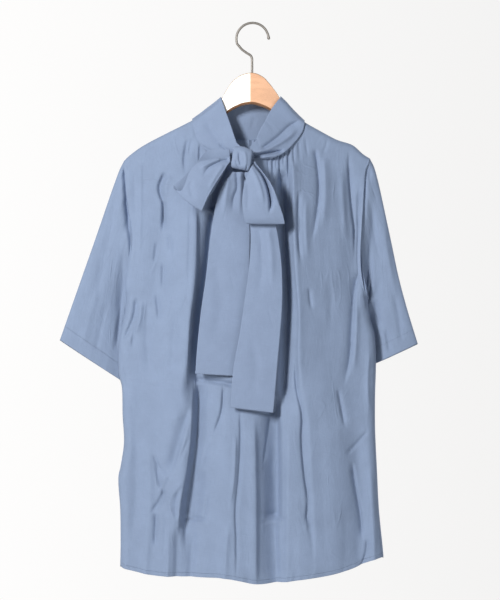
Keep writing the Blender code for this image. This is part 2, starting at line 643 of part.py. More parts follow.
# The hook's wire, from its rounded tip over the crown and down into the wood
HOOK_R = 25.1
HOOK_CENTRE = (0.0, -23.2)
HOOK_KEYS = [(25.4, -24.6), (25.2, -21.0)] + [
    (HOOK_CENTRE[0] + HOOK_R * math.cos(math.radians(a)),
     HOOK_CENTRE[1] + HOOK_R * math.sin(math.radians(a)))
    for a in range(20, 200, 22)] + [
    (-21.6, -33.6), (-16.2, -39.8), (-8.8, -45.2), (-3.0, -49.0),
    (-0.9, -53.0), (-0.6, -60.0), (-0.6, -74.0), (-0.6, -96.0)]
hook_points = catmull(HOOK_KEYS, 34)
curve = bpy.data.curves.new("hanger_hook", "CURVE")
curve.dimensions = "3D"
curve.bevel_depth = HOOK_WIRE * MM
curve.bevel_resolution = 2
curve.use_fill_caps = True
spline = curve.splines.new("POLY")
spline.points.add(len(hook_points) - 1)
for k, (x, z) in enumerate(hook_points):
    spline.points[k].co = (x * MM, 0.0, z * MM, 1.0)
    spline.points[k].radius = 1.0
hook = bpy.data.objects.new("hanger_hook", curve)
bpy.context.collection.objects.link(hook)
curve.materials.append(mat_steel)
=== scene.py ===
"""Short-sleeve blouse with a tied bow collar on a wooden hanger: its looks.

Tables are in millimetres, or in steps of GRID millimetres from the front view's
upper left corner where their name ends in _FV; MM turns them into metres.
"""
import math
import bpy
import numpy as np
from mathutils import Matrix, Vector


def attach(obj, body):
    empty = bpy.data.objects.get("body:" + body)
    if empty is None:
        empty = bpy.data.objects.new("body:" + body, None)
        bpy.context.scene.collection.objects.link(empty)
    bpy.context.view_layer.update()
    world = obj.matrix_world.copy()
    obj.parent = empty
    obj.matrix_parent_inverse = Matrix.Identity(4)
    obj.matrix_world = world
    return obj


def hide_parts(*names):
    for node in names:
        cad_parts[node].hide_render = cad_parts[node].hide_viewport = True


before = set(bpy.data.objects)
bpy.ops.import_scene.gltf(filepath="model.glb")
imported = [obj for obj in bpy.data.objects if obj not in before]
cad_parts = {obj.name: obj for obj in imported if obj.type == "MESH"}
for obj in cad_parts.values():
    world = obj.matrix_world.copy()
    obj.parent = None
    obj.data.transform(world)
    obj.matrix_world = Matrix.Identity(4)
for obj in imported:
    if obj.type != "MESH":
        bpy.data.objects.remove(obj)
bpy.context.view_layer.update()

MM = 0.001
GRID = 1.55                       # one step of the front view's raster
ZERO = (252.5, 22.0)              # the hook's crown on that raster

CLOTH_WALL = 0.5
BAND_WALL = 1.1
SEAM_GAP = 0.0
BAND_LIFT = 2.0
ARM_SWEEP = 0.158
OVER_ARM_R = 10.0
OVER_ARM_H = 8.6
SIDE_R = 14.0
BODY_HALF = 20.0
UNDERARM_L = (-199.5, -421.0)
UNDERARM_R = (181.0, -426.0)


def fv(points):
    """Front view steps to millimetres (x, z)."""
    return [((a - ZERO[0]) * GRID, (ZERO[1] - b) * GRID) for a, b in points]


def smooth(t):
    t = np.clip(t, 0.0, 1.0)
    return t * t * (3.0 - 2.0 * t)


def hermite(p, s, q):
    """Smooth curve through the rows p at positions s, read at q."""
    p = np.asarray(p, float)
    flat = p.reshape(len(p), -1)
    m = np.zeros_like(flat)
    m[1:-1] = (flat[2:] - flat[:-2]) / (s[2:] - s[:-2])[:, None]
    m[0] = (flat[1] - flat[0]) / (s[1] - s[0])
    m[-1] = (flat[-1] - flat[-2]) / (s[-1] - s[-2])
    k = np.clip(np.searchsorted(s, q, side="right") - 1, 0, len(s) - 2)
    h = (s[k + 1] - s[k])[:, None]
    t = (q - s[k])[:, None] / h
    out = ((2 * t**3 - 3 * t**2 + 1) * flat[k] + (t**3 - 2 * t**2 + t) * h * m[k]
           + (-2 * t**3 + 3 * t**2) * flat[k + 1] + (t**3 - t**2) * h * m[k + 1])
    return out.reshape((len(q),) + p.shape[1:])


def chord(p, power=1.0):
    p = np.asarray(p, float).reshape(len(p), -1)
    d = np.sqrt(np.sum(np.diff(p, axis=0) ** 2, axis=1)) + 1e-6
    return np.concatenate([[0.0], np.cumsum(d ** power)])


def catmull(rows, n):
    s = chord(rows)
    q = np.linspace(0.0, s[-1], n) if isinstance(n, int) else np.asarray(n) * s[-1]
    return hermite(rows, s, q)


def refine(grid, n, m, wrap=False):
    """The grid's surface on n x m points, smooth both ways."""
    g = np.asarray(grid, float)
    k = len(g)
    if wrap:
        ext = np.concatenate([g[-3:], g, g[:4]])
        s = chord(ext)
        q = s[3] + (s[3 + k] - s[3]) * np.arange(n) / n
        g = hermite(ext, s, q)
    else:
        g = catmull(g, n)
    t = g.swapaxes(0, 1)
    return catmull(t, m).swapaxes(0, 1)


def lut(rows, v):
    a = np.asarray(rows, float)
    if a[0, 0] > a[-1, 0]:
        a = a[::-1]
    return np.interp(v, a[:, 0], a[:, 1])


def eased(rows, n=90):
    """The table's line with its corners eased into a smooth curve."""
    return [tuple(r) for r in catmull(rows, n)]


# ------------------------------------------------------- outlines, front view
SHOULDER = eased([(-203.4, -212.0), (-196.5, -205.0), (-180.0, -192.6),
                  (-163.4, -182.9), (-135.6, -169.1), (-94.1, -148.9),
                  (-69.1, -134.7), (-49.0, -115.4), (-25.0, -97.0),
                  (0.0, -92.0), (20.0, -97.0), (43.8, -114.4), (53.0, -123.0),
                  (67.9, -140.6), (78.4, -149.9), (105.2, -164.9),
                  (132.8, -178.9), (157.8, -187.1), (174.4, -201.0),
                  (185.4, -207.8)], 240)
ARMHOLE_L = eased([UNDERARM_L, (-197.5, -400.0), (-194.8, -368.0),
                   (-192.6, -329.0), (-193.8, -300.0), (-198.2, -262.0),
                   (-200.6, -232.0), (-203.4, -212.0)])
ARMHOLE_R = eased([UNDERARM_R, (176.6, -404.0), (172.2, -378.0),
                   (170.2, -346.0), (171.6, -307.0), (174.6, -262.0),
                   (177.0, -228.0), (185.4, -207.8)])
NECK_FRONT = [(-94.1, -148.9), (-91.2, -160.0), (-85.5, -176.0),
              (-78.5, -184.0), (-67.0, -196.0), (-46.0, -208.0),
              (-15.0, -214.0), (16.0, -208.0), (32.0, -202.0),
              (47.5, -194.0), (58.0, -184.0), (67.0, -176.0),
              (74.4, -166.5), (78.8, -158.0), (81.2, -151.6)]
NECK_BACK = [(-94.1, -148.9), (-84.0, -163.0), (-62.0, -174.0),
             (-30.0, -179.0), (-6.0, -180.0), (20.0, -178.5),
             (52.0, -172.0), (72.0, -163.0), (81.2, -151.6)]
SIDE_L = eased([(-421.0, -199.5), (-434.0, -199.6), (-460.4, -202.9),
                (-486.2, -209.3), (-505.3, -211.3), (-549.5, -210.8),
                (-568.4, -205.8), (-612.9, -204.4), (-657.2, -202.1),
                (-696.0, -207.4), (-713.6, -211.0), (-761.0, -208.0),
                (-820.4, -207.4), (-852.0, -208.0)])
SIDE_R_EDGE = eased([(-426.0, 181.0), (-461.9, 186.0), (-484.1, 192.4),
                     (-527.0, 194.6), (-583.3, 193.0), (-636.6, 193.0),
                     (-701.8, 195.9), (-761.1, 198.9), (-820.4, 204.8),
                     (-834.0, 206.0)])
HEM = eased([(-208.0, -847.0), (-203.0, -850.6), (-192.5, -853.1),
             (-154.1, -860.3), (-109.6, -861.3), (-73.9, -861.9),
             (-44.3, -862.6), (-20.6, -866.5), (0.0, -871.0),
             (18.6, -872.0), (43.9, -869.7), (67.6, -866.5),
             (91.3, -863.4), (122.9, -858.5), (154.5, -850.6),
             (178.4, -841.2), (194.2, -835.8), (206.0, -833.2)], 160)

# ------------------------------------------------------------------ big folds
# name, (z, x) nodes down its run, height toward the viewer (- is a trough),
# reach on its left, reach on its right
FRONT_FOLDS = [
    ("ridge beside left tail", [(-225, -92), (-330, -96), (-430, -100), (-580, -112)], 8.0, 30.0, 11.0),
    ("trough under left tail", [(-240, -52), (-420, -62), (-575, -70)], -7.0, 24.0, 30.0),
    ("trough under right tail", [(-240, 30), (-420, 34), (-600, 30)], -7.0, 40.0, 26.0),
    ("ridge beside right tail", [(-222, 66), (-330, 68), (-440, 76), (-600, 78)], 8.0, 12.0, 34.0),
    ("left chest hollow", [(-290, -141), (-360, -139), (-440, -150)], -5.0, 18.0, 20.0),
    ("right chest hollow", [(-230, 152), (-330, 160), (-430, 157)], -5.0, 18.0, 20.0),
    ("left long ridge", [(-560, -104), (-700, -110), (-868, -118)], 7.0, 34.0, 16.0),
    ("left deep trough", [(-560, -91), (-640, -93), (-740, -102), (-868, -106)], -9.0, 12.0, 20.0),
    ("centre left ridge", [(-640, -38), (-760, -36), (-872, -30)], 6.0, 22.0, 20.0),
    ("centre trough", [(-620, 22), (-740, 30), (-876, 34)], -8.0, 24.0, 20.0),
    ("centre right ridge", [(-590, 66), (-740, 70), (-870, 82)], 6.0, 18.0, 30.0),
    ("right broad ridge", [(-560, 112), (-700, 122), (-862, 130)], 5.0, 26.0, 30.0),
    ("right lower trough", [(-640, 160), (-740, 170), (-852, 172)], -6.0, 18.0, 18.0),
]
BACK_FOLDS = [
    ("left back ridge", [(-240, -84), (-500, -104), (-860, -128)], 6.0, 34.0, 26.0),
    ("left inner trough", [(-230, -40), (-500, -52), (-870, -60)], -6.0, 24.0, 22.0),
    ("middle ridge", [(-215, -4), (-500, -8), (-872, -2)], 7.0, 26.0, 28.0),
    ("right inner trough", [(-230, 38), (-500, 48), (-866, 62)], -6.0, 24.0, 24.0),
    ("right back ridge", [(-240, 80), (-500, 104), (-860, 132)], 6.0, 26.0, 34.0),
]

# ---------------------------------------------------------------- fine creases
# Rows: run on the front view's raster, height toward the viewer, reach on the
# left and right of the run in millimetres, sharpness (2 round, 1 pointed),
# share of the run over which it grows and dies out.
FRONT_CREASES_FV = [
    # left chest
    ([(139, 146), (139.5, 200), (138.5, 262)], 1.0, 2.2, 2.2, 1.2, 0.2, 0.3),
    ([(132, 165), (134, 215), (133, 262)], -1.2, 7.0, 5.0, 1.8, 0.25, 0.35),
    ([(126.5, 205), (129, 228), (128.5, 246), (124, 276), (121.5, 292)], -2.6, 2.0, 3.0, 1.5, 0.2, 0.2),
    ([(165, 169), (158, 186), (162, 201)], -4.2, 2.4, 8.0, 1.5, 0.25, 0.15),
    ([(171, 174), (165, 184), (166, 197)], 2.0, 4.0, 5.0, 1.6, 0.2, 0.3),
    ([(161, 196), (162.5, 205), (161.5, 233)], -5.2, 2.4, 6.0, 1.5, 0.2, 0.4),
    ([(156, 240), (153, 263)], -2.0, 3.0, 4.0, 1.4, 0.3, 0.3),
    ([(167, 232), (170, 254)], -2.0, 3.0, 4.0, 1.4, 0.3, 0.3),
    ([(162.3, 260), (161.4, 290)], -2.4, 3.0, 5.0, 1.4, 0.3, 0.3),
    ([(155, 292), (158, 322)], -2.4, 2.4, 6.0, 1.4, 0.3, 0.3),
    ([(190, 205), (189, 250), (188, 296)], -1.4, 3.0, 5.0, 1.6, 0.2, 0.4),
    ([(147, 300), (146, 345), (149, 380)], -1.8, 7.0, 9.0, 1.8, 0.3, 0.3),
    ([(176, 300), (173, 345), (170, 385)], -1.8, 7.0, 8.0, 1.8, 0.3, 0.3),
    ([(145, 385), (160, 387), (176, 385)], -0.8, 1.8, 2.2, 1.3, 0.3, 0.3),
    ([(135, 296), (132.5, 316), (126, 332), (119, 347)], -3.4, 4.0, 5.0, 1.4, 0.15, 0.3),
    ([(140, 300), (138, 320), (131, 340)], 2.2, 3.5, 5.0, 1.6, 0.2, 0.3),
    ([(134, 322), (130, 352)], -2.2, 2.6, 4.0, 1.4, 0.2, 0.4),
    ([(120, 356), (124, 380), (122, 412)], -1.8, 5.0, 8.0, 1.8, 0.3, 0.4),
    ([(186, 141), (183.5, 160), (185.3, 175)], -2.8, 2.2, 3.6, 1.4, 0.0, 0.5),
    ([(190.5, 140), (187.4, 156)], -2.2, 2.0, 2.8, 1.4, 0.0, 0.5),
    ([(199.4, 146), (199.0, 164)], -2.0, 2.0, 2.6, 1.4, 0.0, 0.5),
    # beside the left tail
    ([(196.5, 206), (196, 263), (194.0, 290), (190, 320), (186, 392)], 3.4, 10.0, 2.4, 1.5, 0.1, 0.15),
    ([(214, 208), (210, 235), (205.5, 277), (200.5, 313), (197, 349), (195, 392)], -8.5, 8.5, 8.0, 1.5, 0.05, 0.12),
    ([(229, 162), (222, 180), (213, 212)], -8.0, 8.0, 5.0, 1.7, 0.1, 0.1),
    # lower left
    ([(192.5, 384), (191, 434), (186.8, 468), (182.6, 490), (179.4, 514), (177, 540)], 4.2, 12.0, 2.4, 1.4, 0.12, 0.15),
    ([(198, 378), (197, 430), (193.5, 462), (188.5, 492), (185, 524), (186, 560)], -7.0, 4.5, 13.0, 1.6, 0.1, 0.3),
    ([(189, 404), (182.5, 430), (175, 457), (166, 482)], -5.4, 13.0, 5.0, 1.8, 0.25, 0.3),
    ([(189, 437), (183, 452), (176, 468)], -1.6, 3.0, 3.0, 1.4, 0.3, 0.3),
    ([(183, 482), (173, 494), (169, 503), (175, 525)], 1.8, 2.4, 2.4, 1.3, 0.15, 0.2),
    ([(179, 490), (175, 506), (177, 521)], -2.4, 4.0, 3.0, 1.6, 0.2, 0.3),
    ([(155, 461), (158, 480), (163, 498), (154, 512)], -2.4, 2.6, 5.0, 1.4, 0.2, 0.2),
    ([(155, 512), (155, 528), (154, 550)], -2.8, 3.0, 3.0, 1.4, 0.2, 0.3),
    ([(160, 500), (161, 530), (160, 560)], 1.6, 4.0, 5.0, 1.7, 0.3, 0.3),
    ([(168.5, 516), (168, 556), (167, 592)], 1.4, 5.0, 3.0, 1.7, 0.5, 0.0),
    ([(177, 512), (176.5, 556), (175, 592)], -3.8, 7.0, 9.0, 1.8, 0.45, 0.0),
    ([(193, 530), (191, 560), (190, 592)], -2.0, 6.0, 6.0, 1.7, 0.2, 0.0),
    ([(201, 470), (206, 452), (209, 440)], -1.2, 4.0, 4.0, 1.6, 0.3, 0.3),
    ([(203, 520), (206, 506), (208, 494)], -1.6, 3.5, 3.0, 1.5, 0.25, 0.3),
    ([(134, 420), (136, 480), (131, 545)], -1.8, 10.0, 12.0, 1.9, 0.3, 0.2),
    ([(146, 430), (149, 500), (143, 592)], 2.0, 9.0, 8.0, 1.9, 0.3, 0.0),
    ([(181, 521.5), (196, 521), (208, 519)], -2.0, 1.6, 2.6, 1.3, 0.2, 0.3),
    ([(259, 523.5), (272, 522), (287, 518.5)], -2.2, 1.6, 2.8, 1.3, 0.2, 0.2),
    ([(152, 455), (160, 470), (171, 478)], -2.0, 2.2, 3.2, 1.4, 0.2, 0.3),
    ([(164, 490), (158, 503), (149, 516)], -2.2, 2.4, 3.4, 1.4, 0.2, 0.3),
    ([(172, 470), (164, 482), (159, 498)], 1.6, 3.0, 2.2, 1.5, 0.2, 0.3),
    ([(190, 462), (186, 478), (181, 500)], 1.2, 1.6, 2.0, 1.4, 0.2, 0.3),
    ([(202, 468), (198, 498), (196, 523)], -4.6, 9.0, 14.0, 2.0, 0.35, 0.06),
    # centre under the tails
    ([(193, 380.5), (206, 381), (219, 382.5), (236, 386)], -4.2, 3.4, 4.6, 1.8, 0.12, 0.12),
    ([(234, 410), (250, 412), (270, 415), (277, 412)], -2.4, 2.6, 3.4, 1.8, 0.12, 0.12),
    ([(223.5, 384), (221.5, 412), (212, 438)], -2.8, 2.4, 5.0, 1.4, 0.2, 0.3),
    ([(240, 406), (240.5, 440), (238.5, 478), (235.5, 510), (236.5, 540), (236, 592)], -2.2, 2.0, 4.2, 1.5, 0.12, 0.3),
    ([(236, 430), (234, 480), (229, 512)], 1.5, 4.0, 2.6, 1.6, 0.25, 0.3),
    ([(228, 520), (226, 550), (224, 592)], 2.0, 7.0, 6.0, 1.8, 0.3, 0.0),
    ([(254, 412), (255.5, 480), (256, 592)], 3.6, 14.0, 5.0, 1.8, 0.2, 0.15),
    ([(271, 412), (266, 446), (262.5, 474)], -1.4, 2.4, 5.0, 1.5, 0.15, 0.35),
    ([(275, 396), (276.8, 430), (277.5, 480), (277.5, 523)], -11.0, 21.0, 6.0, 2.2, 0.12, 0.06),
    ([(274, 508), (275, 545), (277, 592)], -5.4, 18.0, 7.0, 2.0, 0.25, 0.0),
    ([(288, 420), (287.5, 480), (287, 592)], 2.4, 5.0, 10.0, 1.7, 0.2, 0.0),
    # beside the right tail
    ([(293, 158), (293, 209), (294.5, 259), (297, 288), (299.3, 316), (298, 352), (300, 402)], 3.0, 2.6, 9.0, 1.5, 0.05, 0.2),
    ([(282, 168), (284, 209), (285.5, 259), (287, 300), (286, 352), (284, 408)], -8.5, 8.0, 8.0, 1.8, 0.05, 0.10),
    ([(299, 188), (298, 220), (299, 245), (301.6, 268)], -2.6, 2.6, 4.0, 1.4, 0.2, 0.3),
    ([(306, 196), (306, 230), (308, 262)], 1.4, 4.0, 5.0, 1.7, 0.25, 0.3),
    ([(316, 147), (319.5, 174), (319.7, 195), (316.5, 220), (310.5, 247)], -3.4, 5.0, 2.4, 1.4, 0.05, 0.35),
    ([(324.5, 155), (326, 190), (322, 236)], 1.8, 4.0, 8.0, 1.8, 0.1, 0.4),
    ([(328.5, 137), (327.0, 143), (323.0, 153)], -2.0, 1.8, 3.0, 1.3, 0.0, 0.3),
    ([(350, 147), (350.3, 170), (352.5, 200), (355.8, 230), (355.5, 262)], -3.4, 2.4, 5.0, 1.4, 0.1, 0.3),
    ([(343, 160), (344, 200), (348, 250)], 1.8, 6.0, 5.0, 1.9, 0.3, 0.4),
    ([(361.4, 266), (356, 292), (353, 330), (351, 360), (344, 388)], -3.8, 7.0, 2.2, 1.4, 0.15, 0.2),
    ([(361.4, 266), (366, 290), (370, 318)], -2.0, 2.4, 4.0, 1.4, 0.2, 0.3),
    ([(358, 300), (357, 340), (354, 376)], 1.8, 2.4, 5.0, 1.6, 0.2, 0.3),
    ([(308.8, 286), (311.4, 310)], -1.8, 2.6, 4.0, 1.4, 0.3, 0.3),
    ([(327, 270), (331, 300), (330, 340)], -0.8, 6.0, 6.0, 1.8, 0.3, 0.4),
    ([(294.7, 356), (296.6, 389), (302.0, 415), (301.5, 440), (304.3, 475), (308, 502), (306.5, 517), (310.5, 530), (313.8, 565)], -3.2, 2.2, 6.0, 1.4, 0.12, 0.25),
    ([(303, 380), (309, 427), (312, 480), (317, 592)], 1.2, 3.5, 12.0, 1.8, 0.2, 0.3),
    ([(346, 457), (357, 446), (370, 431)], -2.0, 1.8, 3.0, 1.3, 0.2, 0.2),
    ([(338, 388), (341, 404), (346, 430)], -2.6, 2.6, 4.0, 1.4, 0.2, 0.3),
    ([(353, 462), (357, 490), (361.5, 515), (364, 545)], -3.6, 5.0, 2.0, 1.4, 0.15, 0.2),
    ([(368.5, 540), (367, 556), (360, 572)], -2.6, 2.4, 4.0, 1.5, 0.2, 0.2),
    ([(371, 465), (374, 520), (376, 592)], 2.0, 5.0, 5.0, 1.8, 0.2, 0.0),
    ([(371.5, 348), (369, 380), (370.5, 420)], 1.6, 5.0, 2.0, 1.4, 0.2, 0.3),
    ([(345, 500), (347, 550), (344, 592)], -1.0, 10.0, 10.0, 1.9, 0.3, 0.0),
    ([(361.5, 182), (360.0, 215), (361.0, 250), (364, 282)], -2.6, 3.0, 1.6, 1.5, 0.2, 0.2),
    # gathers under the right neckline
    ([(268, 158), (269, 180)], -1.6, 1.8, 2.2, 1.4, 0.0, 0.5),
    ([(272.6, 158), (273, 183)], -2.4, 1.8, 2.6, 1.4, 0.0, 0.4),
    ([(276, 156), (276.5, 172)], -1.4, 1.6, 2.0, 1.4, 0.0, 0.5),
    ([(279.5, 154), (279.8, 170), (281.5, 190)], -2.8, 1.8, 2.6, 1.4, 0.0, 0.4),
    ([(283.5, 153), (283.5, 167)], -1.6, 1.4, 2.0, 1.4, 0.0, 0.5),
    ([(288.2, 150), (288.6, 180), (289.5, 216)], -2.6, 1.8, 2.6, 1.4, 0.0, 0.4),
    ([(293.5, 147), (294.5, 168)], -1.4, 1.6, 2.2, 1.4, 0.0, 0.6),
    ([(299, 143), (300.5, 164)], -1.2, 1.8, 2.2, 1.4, 0.0, 0.6),
    ([(306, 138), (308, 158)], -1.2, 1.8, 2.4, 1.4, 0.0, 0.6),
]
# the same kind of creases on the back, seen from the front through the cloth
BACK_CREASES_FV = [
    ([(212, 138), (210, 175), (205, 230)], -2.6, 4.0, 6.0, 1.6, 0.0, 0.4),
    ([(222, 137), (222, 162), (219, 196)], -2.0, 3.0, 4.0, 1.5, 0.0, 0.5),
    ([(232, 137), (232, 158), (230, 182)], -2.0, 2.6, 3.4, 1.5, 0.0, 0.5),
    ([(239, 137), (239, 150), (238, 166)], -1.6, 1.8, 2.4, 1.5, 0.0, 0.5),
    ([(244, 137), (244, 146), (244, 160)], -1.4, 1.6, 2.2, 1.5, 0.0, 0.5),
    ([(248.5, 137), (249, 150), (250, 240), (246, 330)], -2.2, 2.4, 5.0, 1.5, 0.0, 0.4),
    ([(254, 137), (254, 150), (255, 168)], -1.6, 1.8, 2.4, 1.5, 0.0, 0.5),
    ([(259, 137), (260, 152), (261, 176)], -1.8, 2.2, 2.8, 1.5, 0.0, 0.5),
    ([(268, 136), (270, 170), (277, 230)], -2.4, 3.6, 5.0, 1.6, 0.0, 0.4),
    ([(280, 134), (283, 160), (287, 200)], -2.0, 3.0, 4.0, 1.6, 0.0, 0.5),
    ([(196, 160), (186, 260), (183, 380)], -2.6, 8.0, 10.0, 1.8, 0.15, 0.3),
    ([(303, 160), (314, 270), (322, 400)], -2.6, 9.0, 8.0, 1.8, 0.15, 0.3),
    ([(150, 175), (153, 230), (150, 300)], -2.2, 6.0, 7.0, 1.7, 0.2, 0.3),
    ([(345, 170), (350, 240), (346, 320)], -2.2, 6.0, 7.0, 1.7, 0.2, 0.3),
    ([(136, 298), (130, 330), (120, 356)], -2.6, 5.0, 6.0, 1.6, 0.2, 0.3),
    ([(362, 300), (368, 330), (372, 356)], -2.4, 5.0, 6.0, 1.6, 0.2, 0.3),
    ([(171, 380), (176, 470), (166, 590)], -3.2, 7.0, 11.0, 1.7, 0.15, 0.0),
    ([(182, 400), (190, 480), (184, 590)], 2.6, 7.0, 10.0, 1.8, 0.2, 0.0),
    ([(214, 360), (222, 450), (219, 590)], -2.8, 6.0, 9.0, 1.7, 0.2, 0.0),
    ([(241, 380), (236, 470), (243, 590)], 2.4, 8.0, 7.0, 1.8, 0.2, 0.0),
    ([(262, 340), (270, 450), (266, 590)], -3.0, 9.0, 6.0, 1.7, 0.2, 0.0),
    ([(292, 360), (299, 460), (305, 590)], -2.6, 6.0, 8.0, 1.7, 0.2, 0.0),
    ([(330, 380), (333, 470), (342, 590)], -2.8, 9.0, 7.0, 1.7, 0.2, 0.0),
    ([(140, 430), (144, 500), (138, 590)], -2.0, 8.0, 8.0, 1.8, 0.3, 0.0),
    ([(360, 430), (356, 500), (364, 590)], -2.2, 8.0, 8.0, 1.8, 0.3, 0.0),
    ([(205, 300), (232, 318), (262, 312)], -1.2, 5.0, 6.0, 1.7, 0.35, 0.35),
    ([(225, 430), (250, 436), (280, 428)], -0.9, 4.0, 5.0, 1.6, 0.35, 0.35),
]
SLEEVE_R_CREASES_FV = [
    ([(118, 165), (112, 200), (108, 232)], -1.1, 7.0, 8.0, 1.8, 0.2, 0.4),
    ([(112, 215), (100, 262), (92, 300)], -1.0, 8.0, 9.0, 1.8, 0.3, 0.3),
    ([(124, 238), (122.5, 262), (119, 290), (116, 322), (113, 354)], -3.0, 9.0, 3.5, 1.9, 0.25, 0.2),
    ([(122.5, 192), (124.5, 212), (126.0, 238)], -3.4, 6.0, 3.0, 1.6, 0.25, 0.3),
    ([(117, 300), (112, 330), (108, 352)], 1.4, 5.0, 6.0, 1.8, 0.3, 0.3),
    ([(96, 285), (86, 320), (80, 345)], 0.8, 7.0, 7.0, 1.8, 0.3, 0.1),
    ([(104, 300), (97, 330), (93, 352)], -0.7, 5.0, 6.0, 1.7, 0.3, 0.1),
]
SLEEVE_L_CREASES_FV = [
    ([(388.1, 329), (390.4, 341), (393, 356)], -1.8, 3.5, 4.5, 1.5, 0.3, 0.3),
    ([(378.4, 298), (378.4, 312), (380.7, 319), (381.2, 330)], -2.0, 3.5, 4.5, 1.5, 0.25, 0.3),
    ([(373, 162), (371.3, 181)], -1.4, 3.0, 3.0, 1.5, 0.2, 0.4),
    ([(372, 190), (377, 235), (383, 275)], -1.4, 6.0, 7.0, 1.8, 0.3, 0.4),
    ([(384, 215), (392, 262), (399, 300)], 1.3, 7.0, 7.0, 1.9, 0.3, 0.3),
    ([(396, 290), (401, 315), (405, 345)], -1.2, 5.0, 6.0, 1.8, 0.3, 0.2),
]
# collar: creases of its front parts
COLLAR_CREASES_FV = [
    ([(303, 118), (293, 122.5), (287, 127), (280, 134), (272, 141), (260, 150)], -2.2, 3.0, 6.0, 1.5, 0.2, 0.1),
    ([(298, 128), (285, 139), (270, 148), (256, 153)], 2.4, 4.0, 4.0, 1.7, 0.2, 0.0),
    ([(285, 150), (268.7, 152.7), (254, 155.6)], -4.6, 2.0, 3.2, 1.5, 0.25, 0.0),
    ([(275, 158), (264, 159.6), (252, 157.6)], -3.0, 1.8, 2.4, 1.4, 0.3, 0.0),
    ([(290, 148), (275, 155.5), (262, 157)], 1.8, 2.4, 2.4, 1.6, 0.2, 0.1),
    ([(204, 116), (213, 133), (224, 148)], -1.2, 7.0, 6.0, 1.8, 0.3, 0.1),
    ([(196, 143), (212, 151), (230, 153)], 1.6, 3.0, 3.0, 1.8, 0.2, 0.0),
    ([(199, 148), (215, 156), (232, 157.5)], -2.4, 2.0, 3.0, 1.5, 0.25, 0.0),
    ([(218, 142), (226, 149), (233, 151)], -1.6, 2.0, 2.4, 1.5, 0.3, 0.0),
    ([(214, 152), (224, 152.5), (233, 155)], -1.6, 2.2, 2.2, 1.5, 0.3, 0.0),
]
LOOP_L_CREASES_FV = [
    ([(230, 160), (219, 163.5), (208, 170), (203, 180)], -2.4, 3.0, 4.0, 1.6, 0.1, 0.4),
    ([(221, 160), (210, 164.5), (199, 171)], 1.4, 3.0, 3.4, 1.7, 0.1, 0.3),
    ([(224, 166), (216, 178), (208, 192)], 1.0, 4.0, 3.0, 1.7, 0.1, 0.3),
    ([(192, 180), (191, 190), (195, 202)], -0.9, 4.0, 5.0, 1.8, 0.3, 0.3),
]
LOOP_R_CREASES_FV = [
    ([(251.5, 163), (257, 169.5), (262.5, 177), (266.8, 187), (269.2, 197), (270.0, 206), (268.6, 216)], -7.5, 2.0, 3.6, 1.6, 0.0, 0.25),
    ([(249, 166), (256, 178), (261, 192), (263.5, 208)], 1.4, 6.0, 3.0, 1.7, 0.05, 0.3),
    ([(257, 166), (265, 175.5), (271, 186), (275, 197), (279, 211)], 2.6, 2.4, 2.6, 1.6, 0.1, 0.3),
    ([(265, 172), (270, 180), (275, 190)], -1.4, 1.4, 1.6, 1.4, 0.2, 0.3),
    ([(247, 180), (248, 198), (247, 214)], -0.8, 4.0, 6.0, 1.8, 0.3, 0.3),
]


def fold_sum(folds, x, z, fade=60.0):
    total = np.zeros_like(x)
    for _, run, height, left, right in folds:
        run = np.asarray(run, float)
        xc = np.interp(-z, -run[:, 0], run[:, 1])
        d = x - xc
        side = np.where(d < 0, left, right)
        top = smooth((run[0, 0] + fade * 0.5 - z) / fade)
        end = smooth((z - run[-1, 0] + fade * 0.5) / fade)
        total += height * np.exp(-(d / side) ** 2) * top * end
    return total


CREASE_GAIN, CREASE_REACH = 1.6, 0.86     # pressed cloth, crisp creases


def crease_sum(rows, x, z):
    """Height of all creases of a table at the points x, z."""
    total = np.zeros_like(x)
    for run, height, left, right, sharp, grow, die in rows:
        height = height * CREASE_GAIN
        left, right = left * CREASE_REACH, right * CREASE_REACH
        p = np.asarray(fv(run))
        if len(p) > 2:
            p = catmull(p, 3 * len(p))
        seg = np.diff(p, axis=0)
        length = np.hypot(seg[:, 0], seg[:, 1])
        s0 = np.concatenate([[0.0], np.cumsum(length)])
        reach = 3.2 * max(left, right)
        near = ((x > p[:, 0].min() - reach) & (x < p[:, 0].max() + reach)
                & (z > p[:, 1].min() - reach) & (z < p[:, 1].max() + reach))
        if not near.any():
            continue
        a, b = x[near], z[near]
        best = np.full(a.shape, 1e9)
        share = np.zeros(a.shape)
        for k in range(len(seg)):
            t = np.clip(((a - p[k, 0]) * seg[k, 0] + (b - p[k, 1]) * seg[k, 1])
                        / length[k] ** 2, 0, 1)
            dx = a - (p[k, 0] + t * seg[k, 0])
            dz = b - (p[k, 1] + t * seg[k, 1])
            d = np.hypot(dx, dz) * np.where(seg[k, 0] * dz - seg[k, 1] * dx < 0, -1, 1)
            closer = np.abs(d) < np.abs(best)
            best = np.where(closer, d, best)
            share = np.where(closer, (s0[k] + t * length[k]) / s0[-1], share)
        side = np.where(best < 0, left, right)
        h = height * np.exp(-(np.abs(best) / side) ** sharp)
        if grow:
            h = h * smooth(share / grow)
        if die:
            h = h * smooth((1 - share) / die)
        total[near] += h
    return total


def shoulder_z(x):
    return lut(SHOULDER, x)


def y_mid(x, z):
    r = np.sqrt(np.asarray(x, float) ** 2 + 20.0 ** 2) - 20.0
    hang = 1.0 - 0.40 * smooth((-400.0 - z) / 300.0)
    return ARM_SWEEP * r * hang


